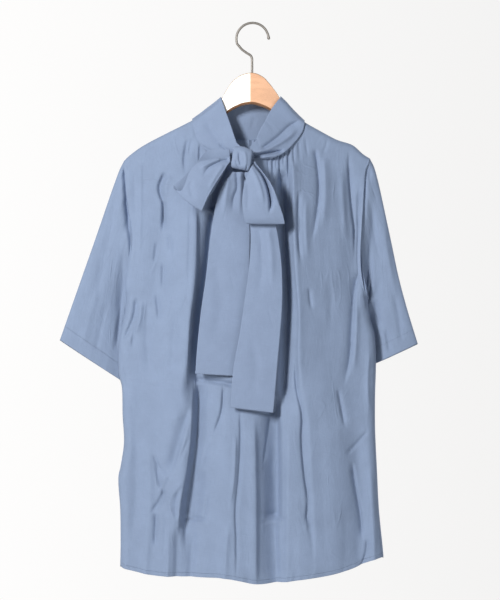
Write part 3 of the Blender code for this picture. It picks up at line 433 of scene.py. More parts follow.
def half_depth(x, z, lift=0.0, folded_side=True):
    e = shoulder_z(x) + lift - z
    r = OVER_ARM_R + lift
    ring = np.sqrt(np.clip(1.0 - (1.0 - np.clip(e, 0, r) / r) ** 2, 0, 1))
    h = (OVER_ARM_H + lift) * ring
    h = h + (BODY_HALF - OVER_ARM_H) * smooth((e - 12.0) / 120.0)
    h = h * (1.0 - 0.30 * smooth((np.abs(x) - 100.0) / 80.0) * smooth((e - 20.0) / 60.0))
    if folded_side:
        left = x - np.where(z < UNDERARM_L[1], lut(SIDE_L, z), UNDERARM_L[0])
        right = np.where(z < UNDERARM_R[1], lut(SIDE_R_EDGE, z), UNDERARM_R[0]) - x
        left = np.maximum(left, 0) + 0.5 * np.maximum(z - UNDERARM_L[1], 0)
        right = np.maximum(right, 0) + 0.5 * np.maximum(z - UNDERARM_R[1], 0)
        for s in (left, right):
            c = np.clip(s, 0, SIDE_R) / SIDE_R
            h = h * np.sqrt(np.clip(1.0 - (1.0 - c) ** 2, 0, 1))
    return h


def fold_mask(x, z):
    e = shoulder_z(x) - z
    side = np.minimum(x + 204.0, 196.0 - x)
    return smooth((e - 14.0) / 60.0) * smooth(side / 34.0)


def crease_mask(x, z):
    """Creases end at the shoulder line and at the side seams."""
    e = shoulder_z(x) - z
    left = -206.0 + (lut(SIDE_L, z) + 206.0) * smooth((UNDERARM_L[1] - z) / 30.0)
    right = 200.0 + (lut(SIDE_R_EDGE, z) - 200.0) * smooth((UNDERARM_R[1] - z) / 30.0)
    side = np.minimum(x - left, right - x)
    over_arm = 0.35 + 0.65 * smooth((e - 22.0) / 22.0)      # shallow on the hanger
    return smooth((e - 2.0) / 10.0) * over_arm * smooth(side / 10.0)


def y_front(x, z):
    return (y_mid(x, z) - half_depth(x, z)
            - fold_sum(FRONT_FOLDS, x, z) * fold_mask(x, z)
            - crease_sum(FRONT_CREASES_FV, x, z) * crease_mask(x, z))


def y_back(x, z):
    return (y_mid(x, z) + half_depth(x, z)
            + fold_sum(BACK_FOLDS, x, z) * fold_mask(x, z)
            + crease_sum(BACK_CREASES_FV, x, z) * crease_mask(x, z))


# -------------------------------------------------------------- node materials
class Nodes:
    """Small helper that adds nodes to a material's tree and links them."""

    def __init__(self, name):
        self.mat = bpy.data.materials.new(name)
        self.mat.use_nodes = True
        self.tree = self.mat.node_tree
        self.out = self.tree.nodes["Material Output"]
        self.shader = self.tree.nodes["Principled BSDF"]

    def add(self, kind, **values):
        n = self.tree.nodes.new(kind)
        for key, value in values.items():
            if hasattr(n, key):
                setattr(n, key, value)
            else:
                n.inputs[key.replace("_", " ")].default_value = value
        return n

    def link(self, a, b):
        self.tree.links.new(a, b)

    def math(self, op, a, b=0.0, c=0.0, clamp=False):
        n = self.tree.nodes.new("ShaderNodeMath")
        n.operation = op
        n.use_clamp = clamp
        for k, v in enumerate((a, b, c)):
            if isinstance(v, (int, float)):
                n.inputs[k].default_value = v
            else:
                self.link(v, n.inputs[k])
        return n.outputs[0]

    def noise(self, vector, scale, detail=2.0, rough=0.5, distortion=0.0):
        n = self.tree.nodes.new("ShaderNodeTexNoise")
        n.inputs["Scale"].default_value = scale
        n.inputs["Detail"].default_value = detail
        n.inputs["Roughness"].default_value = rough
        n.inputs["Distortion"].default_value = distortion
        self.link(vector, n.inputs["Vector"])
        return n.outputs["Fac"]

    def scaled(self, vector, scale):
        n = self.tree.nodes.new("ShaderNodeVectorMath")
        n.operation = "MULTIPLY"
        self.link(vector, n.inputs[0])
        n.inputs[1].default_value = scale
        return n.outputs[0]

    def bump(self, height, distance, strength=1.0, after=None):
        n = self.tree.nodes.new("ShaderNodeBump")
        n.inputs["Strength"].default_value = strength
        n.inputs["Distance"].default_value = distance
        self.link(height, n.inputs["Height"])
        if after is not None:
            self.link(after, n.inputs["Normal"])
        return n.outputs["Normal"]

    def ramp(self, fac, stops):
        n = self.tree.nodes.new("ShaderNodeValToRGB")
        el = n.color_ramp.elements
        while len(el) < len(stops):
            el.new(0.5)
        for e, (pos, col) in zip(el, stops):
            e.position = pos
            e.color = (*col, 1.0)
        self.link(fac, n.inputs["Fac"])
        return n.outputs["Color"]


THREAD = 0.00045        # pitch of two threads of the plain weave, metres


def cloth_material(name, colour, stitch_at=None, sheer=0.14, wrinkle=0.0013):
    """Light plain weave; UV is in metres, V from the hem's edge upward."""
    k = Nodes(name)
    uv = k.add("ShaderNodeUVMap")
    uv.uv_map = "flat"
    sep = k.tree.nodes.new("ShaderNodeSeparateXYZ")
    k.link(uv.outputs["UV"], sep.inputs[0])
    u, v = sep.outputs[0], sep.outputs[1]
    turn = 2 * math.pi / THREAD
    warp = k.math("SINE", k.math("MULTIPLY", u, turn))
    weft = k.math("SINE", k.math("MULTIPLY", v, turn))
    weave = k.math("MULTIPLY_ADD", k.math("MULTIPLY", warp, weft), 0.5, 0.5)
    slub = k.noise(k.scaled(uv.outputs["UV"], (1600.0, 90.0, 1.0)), 1.0, 2.0)
    slub2 = k.noise(k.scaled(uv.outputs["UV"], (70.0, 1400.0, 1.0)), 1.0, 2.0)
    mottle = k.noise(uv.outputs["UV"], 28.0, 3.0, 0.55)
    soft = k.noise(k.scaled(uv.outputs["UV"], (46.0, 15.0, 1.0)), 1.0, 3.0, 0.5, 0.4)
    small = k.noise(k.scaled(uv.outputs["UV"], (150.0, 70.0, 1.0)), 1.0, 3.0, 0.55, 0.3)
    n1 = k.bump(weave, 0.00005, 0.55)
    n2 = k.bump(slub, 0.00006, 0.5, n1)
    n2 = k.bump(small, 0.00030, 0.6, n2)
    n2 = k.bump(soft, wrinkle, 1.0, n2)
    # thin pressed creases, a few at a time, mostly along the warp
    for scale, width, depth in (((19.0, 5.0, 1.0), 32.0, 0.0005), ((9.0, 14.0, 1.0), 40.0, 0.0003)):
        wave = k.noise(k.scaled(uv.outputs["UV"], scale), 1.0, 2.0, 0.5, 0.5)
        ridge = k.math("SUBTRACT", 1.0, k.math("MULTIPLY", k.math(
            "ABSOLUTE", k.math("SUBTRACT", wave, 0.5)), width), clamp=True)
        where = k.noise(k.scaled(uv.outputs["UV"], (scale[1], scale[0], 1.0)), 1.0, 1.0)
        some = k.math("MULTIPLY", k.math("SUBTRACT", where, 0.50), 7.0, clamp=True)
        n2 = k.bump(k.math("MULTIPLY", ridge, some), -depth if wrinkle > 0.0005 else -0.3 * depth,
                    1.0, n2)
    shade = k.math("ADD", k.math("MULTIPLY", slub, 0.30),
                   k.math("ADD", k.math("MULTIPLY", slub2, 0.30),
                          k.math("MULTIPLY", mottle, 0.40)))
    if stitch_at is not None:
        line = k.math("SUBTRACT", 1.0, k.math("MULTIPLY", k.math(
            "ABSOLUTE", k.math("SUBTRACT", v, stitch_at)), 1.0 / 0.00045), clamp=True)
        dash = k.math("GREATER_THAN", k.math("SINE", k.math(
            "MULTIPLY", u, 2 * math.pi / 0.0024)), -0.35)
        stitch = k.math("MULTIPLY", line, dash)
        n2 = k.bump(line, 0.0004, 1.0, n2)
        shade = k.math("SUBTRACT", shade, k.math("MULTIPLY", stitch, 0.16))
    dark = tuple(c * 0.90 for c in colour)
    light = tuple(min(1.0, c * 1.09) for c in colour)
    col = k.ramp(shade, [(0.30, dark), (0.70, light)])
    p = k.shader
    k.link(col, p.inputs["Base Color"])
    k.link(n2, p.inputs["Normal"])
    p.inputs["Roughness"].default_value = 0.78
    p.inputs["Specular IOR Level"].default_value = 0.25
    p.inputs["Sheen Weight"].default_value = 0.12
    p.inputs["Sheen Roughness"].default_value = 0.45
    p.inputs["Sheen Tint"].default_value = (0.75, 0.82, 1.0, 1.0)
    back = k.tree.nodes.new("ShaderNodeBsdfTranslucent")
    k.link(col, back.inputs["Color"])
    k.link(n2, back.inputs["Normal"])
    mix = k.tree.nodes.new("ShaderNodeMixShader")
    mix.inputs["Fac"].default_value = sheer
    k.link(p.outputs["BSDF"], mix.inputs[1])
    k.link(back.outputs["BSDF"], mix.inputs[2])
    k.link(mix.outputs[0], k.out.inputs["Surface"])
    return k.mat


def wood_with_painted_light_material():
    k = Nodes("varnished beech wood")
    tc = k.tree.nodes.new("ShaderNodeTexCoord")
    obj = tc.outputs["Object"]
    stretched = k.scaled(obj, (14.0, 120.0, 150.0))
    drift = k.noise(k.scaled(obj, (9.0, 20.0, 26.0)), 1.0, 2.0)
    grain = k.noise(stretched, 1.0, 4.0, 0.6, 0.8)
    pores = k.noise(k.scaled(obj, (160.0, 1500.0, 1500.0)), 1.0, 2.0, 0.6)
    bands = k.math("SINE", k.math("MULTIPLY_ADD", drift, 34.0, k.math("MULTIPLY", grain, 6.0)))
    mix = k.math("ADD", k.math("MULTIPLY_ADD", bands, 0.08, 0.5),
                 k.math("MULTIPLY", k.math("SUBTRACT", pores, 0.5), 0.5))
    peach = k.ramp(mix, [(0.10, (0.50, 0.28, 0.165)), (0.55, (0.73, 0.42, 0.255)),
                         (0.95, (0.82, 0.52, 0.34))])
    # painted highlight: pale is the wood washed out by the key light. It is painted on the facet left of RIDGE_X, which
    # faces that light; right of it the wood keeps its own peach colour
    pale = k.ramp(mix, [(0.10, (0.82, 0.74, 0.63)), (0.55, (0.87, 0.81, 0.72)),
                        (0.95, (0.91, 0.86, 0.78))])
    xyz = k.tree.nodes.new("ShaderNodeSeparateXYZ")
    k.link(obj, xyz.inputs[0])
    which = k.math("MULTIPLY_ADD", xyz.outputs[0], 900.0, 900.0 * -RIDGE_X * MM + 0.5, clamp=True)
    lit_facet_paint = k.tree.nodes.new("ShaderNodeMix")
    lit_facet_paint.data_type = "RGBA"
    k.link(which, lit_facet_paint.inputs[0])
    k.link(pale, lit_facet_paint.inputs[6])
    k.link(peach, lit_facet_paint.inputs[7])
    # painted shade: the more a surface turns away from the front, the more its colour is mixed toward a dark brown
    geo = k.tree.nodes.new("ShaderNodeNewGeometry")
    facing = k.tree.nodes.new("ShaderNodeSeparateXYZ")
    k.link(geo.outputs["Normal"], facing.inputs[0])
    rim = k.math("MULTIPLY_ADD", k.math("ABSOLUTE", facing.outputs[1]), -7.0, 6.4, clamp=True)
    dark = k.tree.nodes.new("ShaderNodeMix")          # painted shade: the rounded edges, turned away from the front, get a darker brown
    dark.data_type = "RGBA"
    k.link(rim, dark.inputs[0])
    k.link(lit_facet_paint.outputs[2], dark.inputs[6])
    dark.inputs[7].default_value = (0.42, 0.25, 0.14, 1.0)
    col = dark.outputs[2]
    p = k.shader
    k.link(col, p.inputs["Base Color"])
    k.link(k.bump(pores, 0.00006, 0.5, k.bump(grain, 0.00012, 0.4)), p.inputs["Normal"])
    p.inputs["Roughness"].default_value = 0.42
    p.inputs["Coat Weight"].default_value = 0.45
    p.inputs["Coat Roughness"].default_value = 0.22
    return k.mat


def shaded_edge_material():
    # painted shade: the chamfer along the hanger's lower front edge lies in shadow, so it is painted a near-black brown
    k = Nodes("painted_shade wood edge")
    tc = k.tree.nodes.new("ShaderNodeTexCoord")
    grain = k.noise(k.scaled(tc.outputs["Object"], (30.0, 260.0, 260.0)), 1.0, 3.0, 0.6)
    col = k.ramp(grain, [(0.25, (0.16, 0.075, 0.035)), (0.75, (0.30, 0.15, 0.075))])
    k.link(col, k.shader.inputs["Base Color"])
    k.link(k.bump(grain, 0.0001, 0.4), k.shader.inputs["Normal"])
    k.shader.inputs["Roughness"].default_value = 0.5
    return k.mat


def steel_material():
    k = Nodes("satin steel wire")
    tc = k.tree.nodes.new("ShaderNodeTexCoord")
    fine = k.noise(tc.outputs["Object"], 900.0, 3.0, 0.6)
    wide = k.noise(tc.outputs["Object"], 60.0, 2.0)
    k.link(k.ramp(wide, [(0.3, (0.20, 0.185, 0.17)), (0.7, (0.25, 0.235, 0.215))]),
           k.shader.inputs["Base Color"])
    k.link(k.math("MULTIPLY_ADD", fine, 0.06, 0.46), k.shader.inputs["Roughness"])
    k.link(k.bump(fine, 0.000004, 0.3), k.shader.inputs["Normal"])
    k.shader.inputs["Metallic"].default_value = 0.55
    return k.mat


BLUE = (0.218, 0.283, 0.412)
body_mat = cloth_material("dusty blue plain weave", BLUE, 0.0062)
back_mat = cloth_material("dusty blue plain weave back", BLUE, 0.0062)
sleeve_mat = cloth_material("dusty blue plain weave sleeve", BLUE, 0.0240)
tie_mat = cloth_material("dusty blue tie cloth", (0.199, 0.258, 0.379),
                         sheer=0.06, wrinkle=0.0006)


# ---------------------------------------------------------------- mesh builder
def cloth(name, grid, wall, mat, uv, wrap=False, node=None):
    """A thin cloth shell on a grid of points in millimetres."""
    g = np.asarray(grid, float) * MM
    n, m = g.shape[:2]
    idx = np.arange(n * m).reshape(n, m)
    a = np.vstack([idx, idx[:1]]) if wrap else idx
    quads = np.stack([a[:-1, :-1], a[1:, :-1], a[1:, 1:], a[:-1, 1:]], -1).reshape(-1, 4)
    me = bpy.data.meshes.new(name)
    me.from_pydata(g.reshape(-1, 3).tolist(), [], quads.tolist())
    layer = me.uv_layers.new(name="flat")
    uv = np.asarray(uv, float)
    corners = np.stack([uv[:-1, :-1], uv[1:, :-1], uv[1:, 1:], uv[:-1, 1:]], 2)
    layer.data.foreach_set("uv", corners.reshape(-1).astype(np.float32))
    me.shade_smooth()
    me.materials.append(mat)
    me.update()
    ob = bpy.data.objects.new(name, me)
    bpy.context.scene.collection.objects.link(ob)
    if wall:
        wm = ob.modifiers.new("wall", "SOLIDIFY")
        wm.thickness = wall * MM
        wm.offset = 0.0
    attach(ob, "root")
    if node:
        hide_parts(node)
    return ob


def flat_uv(grid, wrap=False, from_end=True):
    """Lengths across and along a grid, in metres, V from its last column."""
    g = np.asarray(grid, float)
    if wrap:
        g = np.concatenate([g, g[:1]])
    across = np.sqrt(np.sum(np.diff(g, axis=0) ** 2, axis=2)).mean(axis=1)
    along = np.sqrt(np.sum(np.diff(g, axis=1) ** 2, axis=2))
    u = np.concatenate([[0.0], np.cumsum(across)])
    v = np.concatenate([np.zeros((len(g), 1)), np.cumsum(along, axis=1)], axis=1)
    if from_end:
        v = v[:, -1:] - v
    uv = np.zeros(g.shape[:2] + (2,))
    uv[..., 0] = u[:, None] * MM
    uv[..., 1] = v * MM
    return uv


# ------------------------------------------------------------------ body panels
EDGE_FRACTIONS = [0.0, 0.0010, 0.0030, 0.0060, 0.0100, 0.0150, 0.0220, 0.0300]
NECK_TURN = [0.003, 0.008, 0.015, 0.024, 0.034, 0.046, 0.060, 0.080]


def along(points, fractions):
    p = np.asarray(points, float)
    s = np.concatenate([[0], np.cumsum(np.hypot(*np.diff(p, axis=0).T))])
    s /= s[-1]
    return np.stack([np.interp(fractions, s, p[:, 0]),
                     np.interp(fractions, s, p[:, 1])], axis=1)


def panel_points(neck, shoulder_cols, neck_cols, rows, hem_drop=0.0):
    """Front view points of one panel, columns from shoulder and neckline down
    to the hem, with close rows over the arm and in the hem."""
    neck = eased(neck, 160)
    sh_l = np.array([(x, z) for x, z in SHOULDER if x <= -94.1] + [(-94.1, -148.9)])
    sh_r = np.array([(81.2, -151.6)] + [(x, z) for x, z in SHOULDER if x > 82])
    edge = np.array(EDGE_FRACTIONS)
    sh_f = np.concatenate([edge * 3.2, np.linspace(0.096, 1.0, shoulder_cols + 1)[1:]])
    hem_f = np.concatenate([edge, np.linspace(0.03, 0.25, shoulder_cols + 1)[1:]])
    turn = np.array(NECK_TURN)
    neck_f = np.concatenate([turn, np.linspace(turn[-1], 1 - turn[-1], neck_cols + 1)[1:-1],
                             1 - turn[::-1]])
    top = np.concatenate([along(sh_l, sh_f), along(neck, neck_f),
                          along(sh_r, 1 - sh_f[::-1])])
    frac = np.concatenate([hem_f, 0.25 + 0.50 * neck_f, 1 - hem_f[::-1]])
    bottom = along(HEM, frac)
    bottom[:, 1] += hem_drop
    first = np.array([0.0, 0.0006, 0.0020, 0.0042, 0.0070, 0.0105, 0.0145])
    last = 1 - np.array([0.0128, 0.0106, 0.0094, 0.0086, 0.0078, 0.0062,
                         0.0040, 0.0018, 0.0006, 0.0])
    w = np.concatenate([first, np.linspace(first[-1], last[0], rows + 1)[1:-1], last])
    edge_l = ARMHOLE_L[::-1] + [(x, z) for z, x in SIDE_L[1:]]
    edge_r = ARMHOLE_R[::-1] + [(x, z) for z, x in SIDE_R_EDGE[1:]]
    n = len(top)
    X, Z = np.zeros((n, len(w))), np.zeros((n, len(w)))
    for i in range(n):
        x = top[i, 0] + (bottom[i, 0] - top[i, 0]) * w
        z = top[i, 1] + (bottom[i, 1] - top[i, 1]) * w
        for line, near in ((edge_l, max(0.0, 1 - frac[i] / 0.35)),
                           (edge_r, max(0.0, 1 - (1 - frac[i]) / 0.35))):
            line = np.asarray(line, float)
            ez = line[0, 1] + (line[-1, 1] - line[0, 1]) * w
            straight = line[0, 0] + (line[-1, 0] - line[0, 0]) * w
            x = x + near * (np.interp(-ez, -line[:, 1], line[:, 0]) - straight)
        X[i], Z[i] = x, z
    return X, Z, frac, w


def hem_relief(u, v):
    """Puckers of the narrow stitched hem; u along it, v up from its edge (mm)."""
    wave = (np.sin(u / 2.3 + 1.6 * np.sin(u / 31.0)) * (0.55 + 0.45 * np.sin(u / 17.0 + 0.7))
            + 0.7 * np.sin(u / 4.9 + 2.0 * np.sin(u / 43.0) + 1.0))
    band = smooth((7.4 - v) / 1.6)
    above = np.exp(-np.maximum(v - 6.0, 0.0) / 7.0)
    groove = -0.30 * np.exp(-((v - 6.2) / 0.7) ** 2)
    return 0.34 * band + groove + 0.26 * wave * above * smooth(v / 1.2 + 0.3)


def panel(name, neck, depth, sign, cols, node, mat, hem_drop=0.0):
    X, Z, frac, w = panel_points(neck, *cols, hem_drop=hem_drop)
    Y = depth(X, Z) + 0.5 * SEAM_GAP * sign
    for edge, under in ((0, UNDERARM_L), (-1, UNDERARM_R)):    # side seams meet
        Y[edge] = np.where(Z[edge] < under[1], y_mid(X[edge], Z[edge]), Y[edge])
    grid = np.stack([X, Y, Z], -1)
    uv = flat_uv(grid)
    relief = hem_relief(uv[..., 0] / MM, uv[..., 1] / MM)
    side = smooth(np.minimum(frac, 1 - frac) / 0.02)[:, None]
    grid[..., 1] += sign * relief * side * (uv[..., 1] < 0.06)
    # the hem's turned edge: its last rows again, inside, in reverse
    turned = grid[:, -2:-9:-1].copy()
    turned[..., 1] -= sign * 0.9 * smooth(np.arange(1, 8) / 2.5) * side
    turned_uv = uv[:, -2:-9:-1].copy()
    turned_uv[..., 1] *= -1
    grid = np.concatenate([grid, turned], axis=1)
    uv = np.concatenate([uv, turned_uv], axis=1)
    return cloth(name, grid, None, mat, uv, node=node), grid


front, front_grid = panel("blouse_front", NECK_FRONT, y_front, -1, (58, 160, 262),
                          "front_panel", body_mat)
back, back_grid = panel("blouse_back", NECK_BACK, y_back, +1, (44, 120, 230),
                        "back_panel", back_mat, hem_drop=-3.0)

# ----------------------------------------------------------------------- sleeves
SLEEVE_R_ROWS = [
    (0.00, -204.4, -211.2, -200.5, -421.6, 11.5, 28.5, 28.5),
    (0.08, -211.4, -229.5, -203.6, -433.0, 11.5, 29.0, 34.0),
    (0.20, -222.6, -260.0, -203.0, -458.0, 10.5, 30.0, 44.0),
    (0.45, -245.6, -326.0, -194.0, -500.0, 8.0, 33.0, 50.0),
    (0.72, -274.0, -406.0, -183.0, -542.0, 7.5, 36.0, 50.0),
    (1.00, -305.4, -494.6, -173.0, -582.0, 8.5, 39.0, 50.0),
]
SLEEVE_L_ROWS = [
    (0.00, 186.4, -207.0, 182.0, -426.6, 11.0, 26.0, 26.0),
    (0.08, 192.6, -223.5, 188.4, -437.0, 11.0, 26.5, 35.0),
    (0.20, 200.6, -254.0, 182.0, -460.0, 9.0, 28.0, 46.0),
    (0.45, 217.0, -328.0, 160.0, -494.0, 8.0, 31.0, 46.0),
    (0.72, 236.0, -414.0, 138.0, -530.0, 7.5, 34.0, 47.0),
    (1.00, 262.0, -500.6, 117.0, -568.0, 8.5, 37.0, 47.0),
]
SLEEVE_STATIONS = [0.0, 0.045, 0.11, 0.20, 0.33, 0.48, 0.65, 0.82, 1.0]


def behind_body(x, z, outward):
    edge = float(lut(SIDE_L, z) if outward < 0 else lut(SIDE_R_EDGE, z))
    under = UNDERARM_L[1] if outward < 0 else UNDERARM_R[1]
    out = (x - edge) * outward
    inside = min(x * outward - 6.0, edge * outward) * outward
    px, pz = np.array([inside]), np.array([z])
    clear = 3.6 if outward < 0 else 6.6
    base = y_mid(px, pz) + half_depth(px, pz) + fold_sum(BACK_FOLDS, px, pz) * fold_mask(px, pz)
    near = float(base[0]) + clear - 16.0 * float(smooth((out - 18.0) / 44.0))
    return near - 40.0 * float(1 - smooth((under + 7.0 - z) / 17.0))


def sleeve_grid(rows, hole, outward, around=20):
    table = catmull(rows, SLEEVE_STATIONS)
    hole = np.asarray(hole, float)[::-1]
    grid = np.zeros((around, len(SLEEVE_STATIONS), 3))
    for j, (s, ox, oz, ix, iz, half, oy, iy) in enumerate(table):
        fade = 1 - smooth(s / 0.45)
        for i in range(around):
            a = 2 * math.pi * i / around
            f = (1 - math.cos(a)) / 2
            sn = math.sin(a) if abs(math.sin(a)) > 1e-9 else 0.0
            x, z = ox + (ix - ox) * f, oz + (iz - oz) * f
            cx, cz = along(hole, [f])[0]
            r = rows[0]
            x += (cx + (1.5 + (2.6 if outward < 0 else 5.0) * f ** 3) * outward
                  - (r[1] + (r[3] - r[1]) * f)) * fade
            z += (cz - (r[2] + (r[4] - r[2]) * f)) * fade
            thick = half * abs(sn) ** 0.8
            y = oy + (iy - oy) * smooth(f)
            y = max(y, behind_body(x, z, outward) + thick)
            if j == 0:
                px, pz = np.array([cx]), np.array([cz])
                y = float(y_mid(px, pz)[0])
                thick = float(half_depth(px, pz)[0]) if sn else 0.0
            grid[i, j] = (x, y - thick * np.sign(sn), z)
    return grid


def sleeve(name, rows, hole, outward, creases, node):
    """The sleeve's tube, its seam allowance tucked under the body's armhole
    and its deep hem turned up inside."""
    grid = refine(sleeve_grid(rows, hole, outward), 190, 140, wrap=True)
    k = np.arange(len(grid)) / len(grid)
    turn = np.sin(2 * math.pi * k)[:, None]
    f = (1 - np.cos(2 * math.pi * k))[:, None] / 2
    uv = flat_uv(grid, wrap=True)
    v, u = uv[:-1, :, 1] / MM, uv[:-1, :, 0] / MM
    reach = v[:, :1] - v                       # length from the armhole
    x, z = grid[..., 0], grid[..., 2]
    relief = crease_sum(creases, x, z)
    hem = (0.35 * smooth((25.0 - v) / 1.6) - 0.35 * np.exp(-((v - 24.2) / 0.8) ** 2)
           + 0.16 * np.sin(u / 3.1 + 1.3 * np.sin(u / 27.0)) * np.exp(-np.abs(v - 24.0) / 7.0))
    pucker = 0.35 * np.sin(u / 4.2 + np.sin(u / 19.0)) * np.exp(-reach / 12.0) * smooth(reach / 2.0)
    sink = (SLEEVE_SINK_R if outward < 0 else SLEEVE_SINK_L) * (
        smooth(reach / 1.5) * np.exp(-(reach / 8.0) ** 2)) * smooth((0.985 - f) / 0.06)
    edge = smooth(np.abs(turn) / 0.35)
    grid[..., 1] -= np.sign(turn) * edge * (relief + hem + pucker - sink)
    # meet the body's edge, which the solid keeps a seam's gap away
    pull = (1.5 * np.exp(-(reach / 9.0) ** 2)
            + (10.0 if outward < 0 else 8.0) * f ** 4 * np.exp(-(reach / 55.0) ** 2))
    grid[..., 0] -= pull * outward
    first = grid[:, :1]
    tuck = []
    for inward, under in ((5.0, 1.6), (3.0, 1.5), (1.2, 1.0)):
        ring = first.copy()
        ring[..., 0] -= inward * outward
        ring[..., 1] += np.sign(turn) * under * smooth(np.abs(turn) / 0.2)
        ring[..., 2] += (f - 0.5) * 2 * 1.4 * (1 - smooth(np.abs(turn) / 0.3))
        tuck.append(ring)
    # the hem's turned depth: the last rings again, inside, in reverse
    last = 1 + int(np.sum(v[0] < 24.0))
    inner = grid[:, -2:-2 - last:-1].copy()
    soft = smooth(np.arange(1, inner.shape[1] + 1) / 2.5)
    inner[..., 1] += np.sign(turn) * edge * 0.9 * soft
    inner[..., 0] -= outward * (1 - 2 * f) * (1 - edge) * 0.9 * soft
    inner_uv = uv[:, -2:-2 - last:-1].copy()
    inner_uv[..., 1] *= -1
    tuck_uv = np.repeat(uv[:, :1], 3, axis=1)
    tuck_uv[..., 1] += np.array([0.005, 0.003, 0.0012])
    grid = np.concatenate(tuck + [grid, inner], axis=1)
    uv = np.concatenate([tuck_uv, uv, inner_uv], axis=1)
    return cloth(name, grid, None, sleeve_mat, uv, wrap=True, node=node), grid


SLEEVE_SINK_R, SLEEVE_SINK_L = 8.5, 5.0
sleeve_r, sleeve_r_grid = sleeve("sleeve_on_photo_left", SLEEVE_R_ROWS, ARMHOLE_L, -1,
                                 SLEEVE_R_CREASES_FV, "sleeve_wearer_right")
sleeve_l, sleeve_l_grid = sleeve("sleeve_on_photo_right", SLEEVE_L_ROWS, ARMHOLE_R, +1,
                                 SLEEVE_L_CREASES_FV, "sleeve_wearer_left")

# ------------------------------------------------------------------- collar band
COLLAR_ROWS = [
    (-18.0, -223.0, -20.0, -191.5, 1, 5.0),
    (-34.0, -221.0, -23.5, -188.5, 1, 3.5),
    (-52.0, -213.0, -25.0, -186.0, 1, 1.5),
    (-70.0, -201.5, -26.5, -181.4, 1, 0.5),
    (-86.0, -180.0, -33.5, -160.0, 1, 0.0),
    (-92.0, -163.0, -41.0, -138.6, 1, 0.9),
    (-94.0, -154.0, -47.0, -121.5, 1, 0.5),
    (-94.2, -149.6, -48.6, -116.2, 1, 0.0),
    (-94.2, -147.4, -49.0, -113.8, 1, 0.0),
    (-94.2, -146.9, -49.0, -113.4, 0, 0.0),
    (-94.2, -147.4, -49.0, -113.8, -1, 0.0),
    (-94.2, -149.6, -48.0, -114.6, -1, 0.0),
    (-93.0, -154.0, -45.0, -115.0, -1, -0.8),
    (-84.0, -163.5, -36.0, -114.5, -1, -3.0),
    (-62.0, -174.0, -26.0, -113.8, -1, -5.0),
    (-30.0, -179.0, -14.0, -113.2, -1, -6.0),
    (-6.0, -180.0, -3.0, -113.0, -1, -6.5),
    (20.0, -178.5, 10.0, -113.2, -1, -6.0),
    (52.0, -172.0, 21.0, -113.8, -1, -5.0),
    (70.0, -164.4, 30.0, -114.5, -1, -3.0),
    (80.0, -157.4, 39.5, -115.0, -1, -1.0),
    (81.3, -152.4, 43.0, -114.4, -1, 0.0),
    (81.4, -150.2, 43.8, -112.8, -1, 0.0),
    (81.4, -149.6, 43.8, -112.4, 0, 0.0),
    (81.4, -150.2, 43.8, -112.8, 1, 0.0),
    (81.3, -152.4, 43.2, -115.4, 1, 0.0),
    (81.0, -157.0, 40.0, -119.0, 1, 0.0),
    (77.5, -169.0, 28.7, -135.0, 1, 0.0),
    (66.0, -185.0, 20.0, -152.0, 1, 0.5),
    (48.0, -203.0, 11.0, -168.0, 1, 1.5),
    (26.0, -212.0, 4.5, -184.0, 1, 3.5),
    (-4.0, -213.0, -4.0, -193.8, 1, 5.0),
]


def collar_grid(across=5, lift=BAND_LIFT):
    grid = np.zeros((len(COLLAR_ROWS), across, 3))
    for i, (bx, bz, tx, tz, side, rise) in enumerate(COLLAR_ROWS):
        for j in range(across):
            v = j / (across - 1)
            x, z = bx + (tx - bx) * v, bz + (tz - bz) * v
            xs, zs = np.array([x]), np.array([z])
            if side == 0:
                grid[i, j] = (x, float(y_mid(xs, zs)[0]),
                              float(shoulder_z(xs)[0]) + lift)
                continue
            h = float(half_depth(xs, zs, lift=lift, folded_side=False)[0])
            mid = float(y_mid(xs, zs)[0])
            bulge = 2.0 * math.sin(math.pi * v) if side < 0 else 0.0
            out = rise if side > 0 else rise * v
            grid[i, j] = (x, mid - side * (h + bulge) - out, z)
    return grid


def collar():
    grid = refine(collar_grid(), 340, 40)
    x, y, z = grid[..., 0], grid[..., 1], grid[..., 2]
    is_front = smooth((y_mid(x, z) - y - 2.0) / 4.0)
    grid[..., 1] -= crease_sum(COLLAR_CREASES_FV, x, z) * is_front
    uv = flat_uv(grid)
    return cloth("collar_band_cloth", grid, BAND_WALL, tie_mat, uv,
                 node="collar_band"), grid


collar_piece, collar_points = collar()

# --------------------------------------------------------------------------- bow
LOOP_L_ROWS = [
    (-35.0, -36.5, -199.5, -35.0, -33.5, -214.0),
    (-44.0, -34.5, -199.0, -40.0, -33.0, -226.0),
    (-70.0, -32.0, -200.7, -54.0, -33.0, -252.0),
    (-85.0, -35.0, -217.5, -61.0, -36.0, -264.0),
    (-101.0, -37.5, -236.0, -69.0, -38.0, -276.0),
    (-118.5, -39.0, -252.5, -77.0, -39.5, -290.0),
    (-123.4, -40.5, -257.6, -79.0, -41.5, -294.8),
    (-117.5, -43.0, -261.5, -76.5, -45.0, -291.0),
    (-109.5, -46.5, -263.0, -73.0, -47.5, -283.0),
    (-104.0, -48.0, -254.0, -69.6, -49.0, -275.4),
    (-99.0, -48.5, -240.0, -64.0, -49.5, -265.0),
    (-93.0, -48.5, -228.5, -58.5, -49.5, -255.6),
    (-81.0, -48.0, -218.5, -51.5, -49.5, -244.5),
    (-66.0, -47.0, -215.5, -46.0, -49.0, -236.0),
    (-50.0, -45.5, -213.0, -39.5, -47.5, -225.5),
    (-40.0, -43.5, -212.0, -36.0, -45.5, -220.5),
    (-34.2, -42.0, -209.5, -34.2, -43.5, -218.5),
]
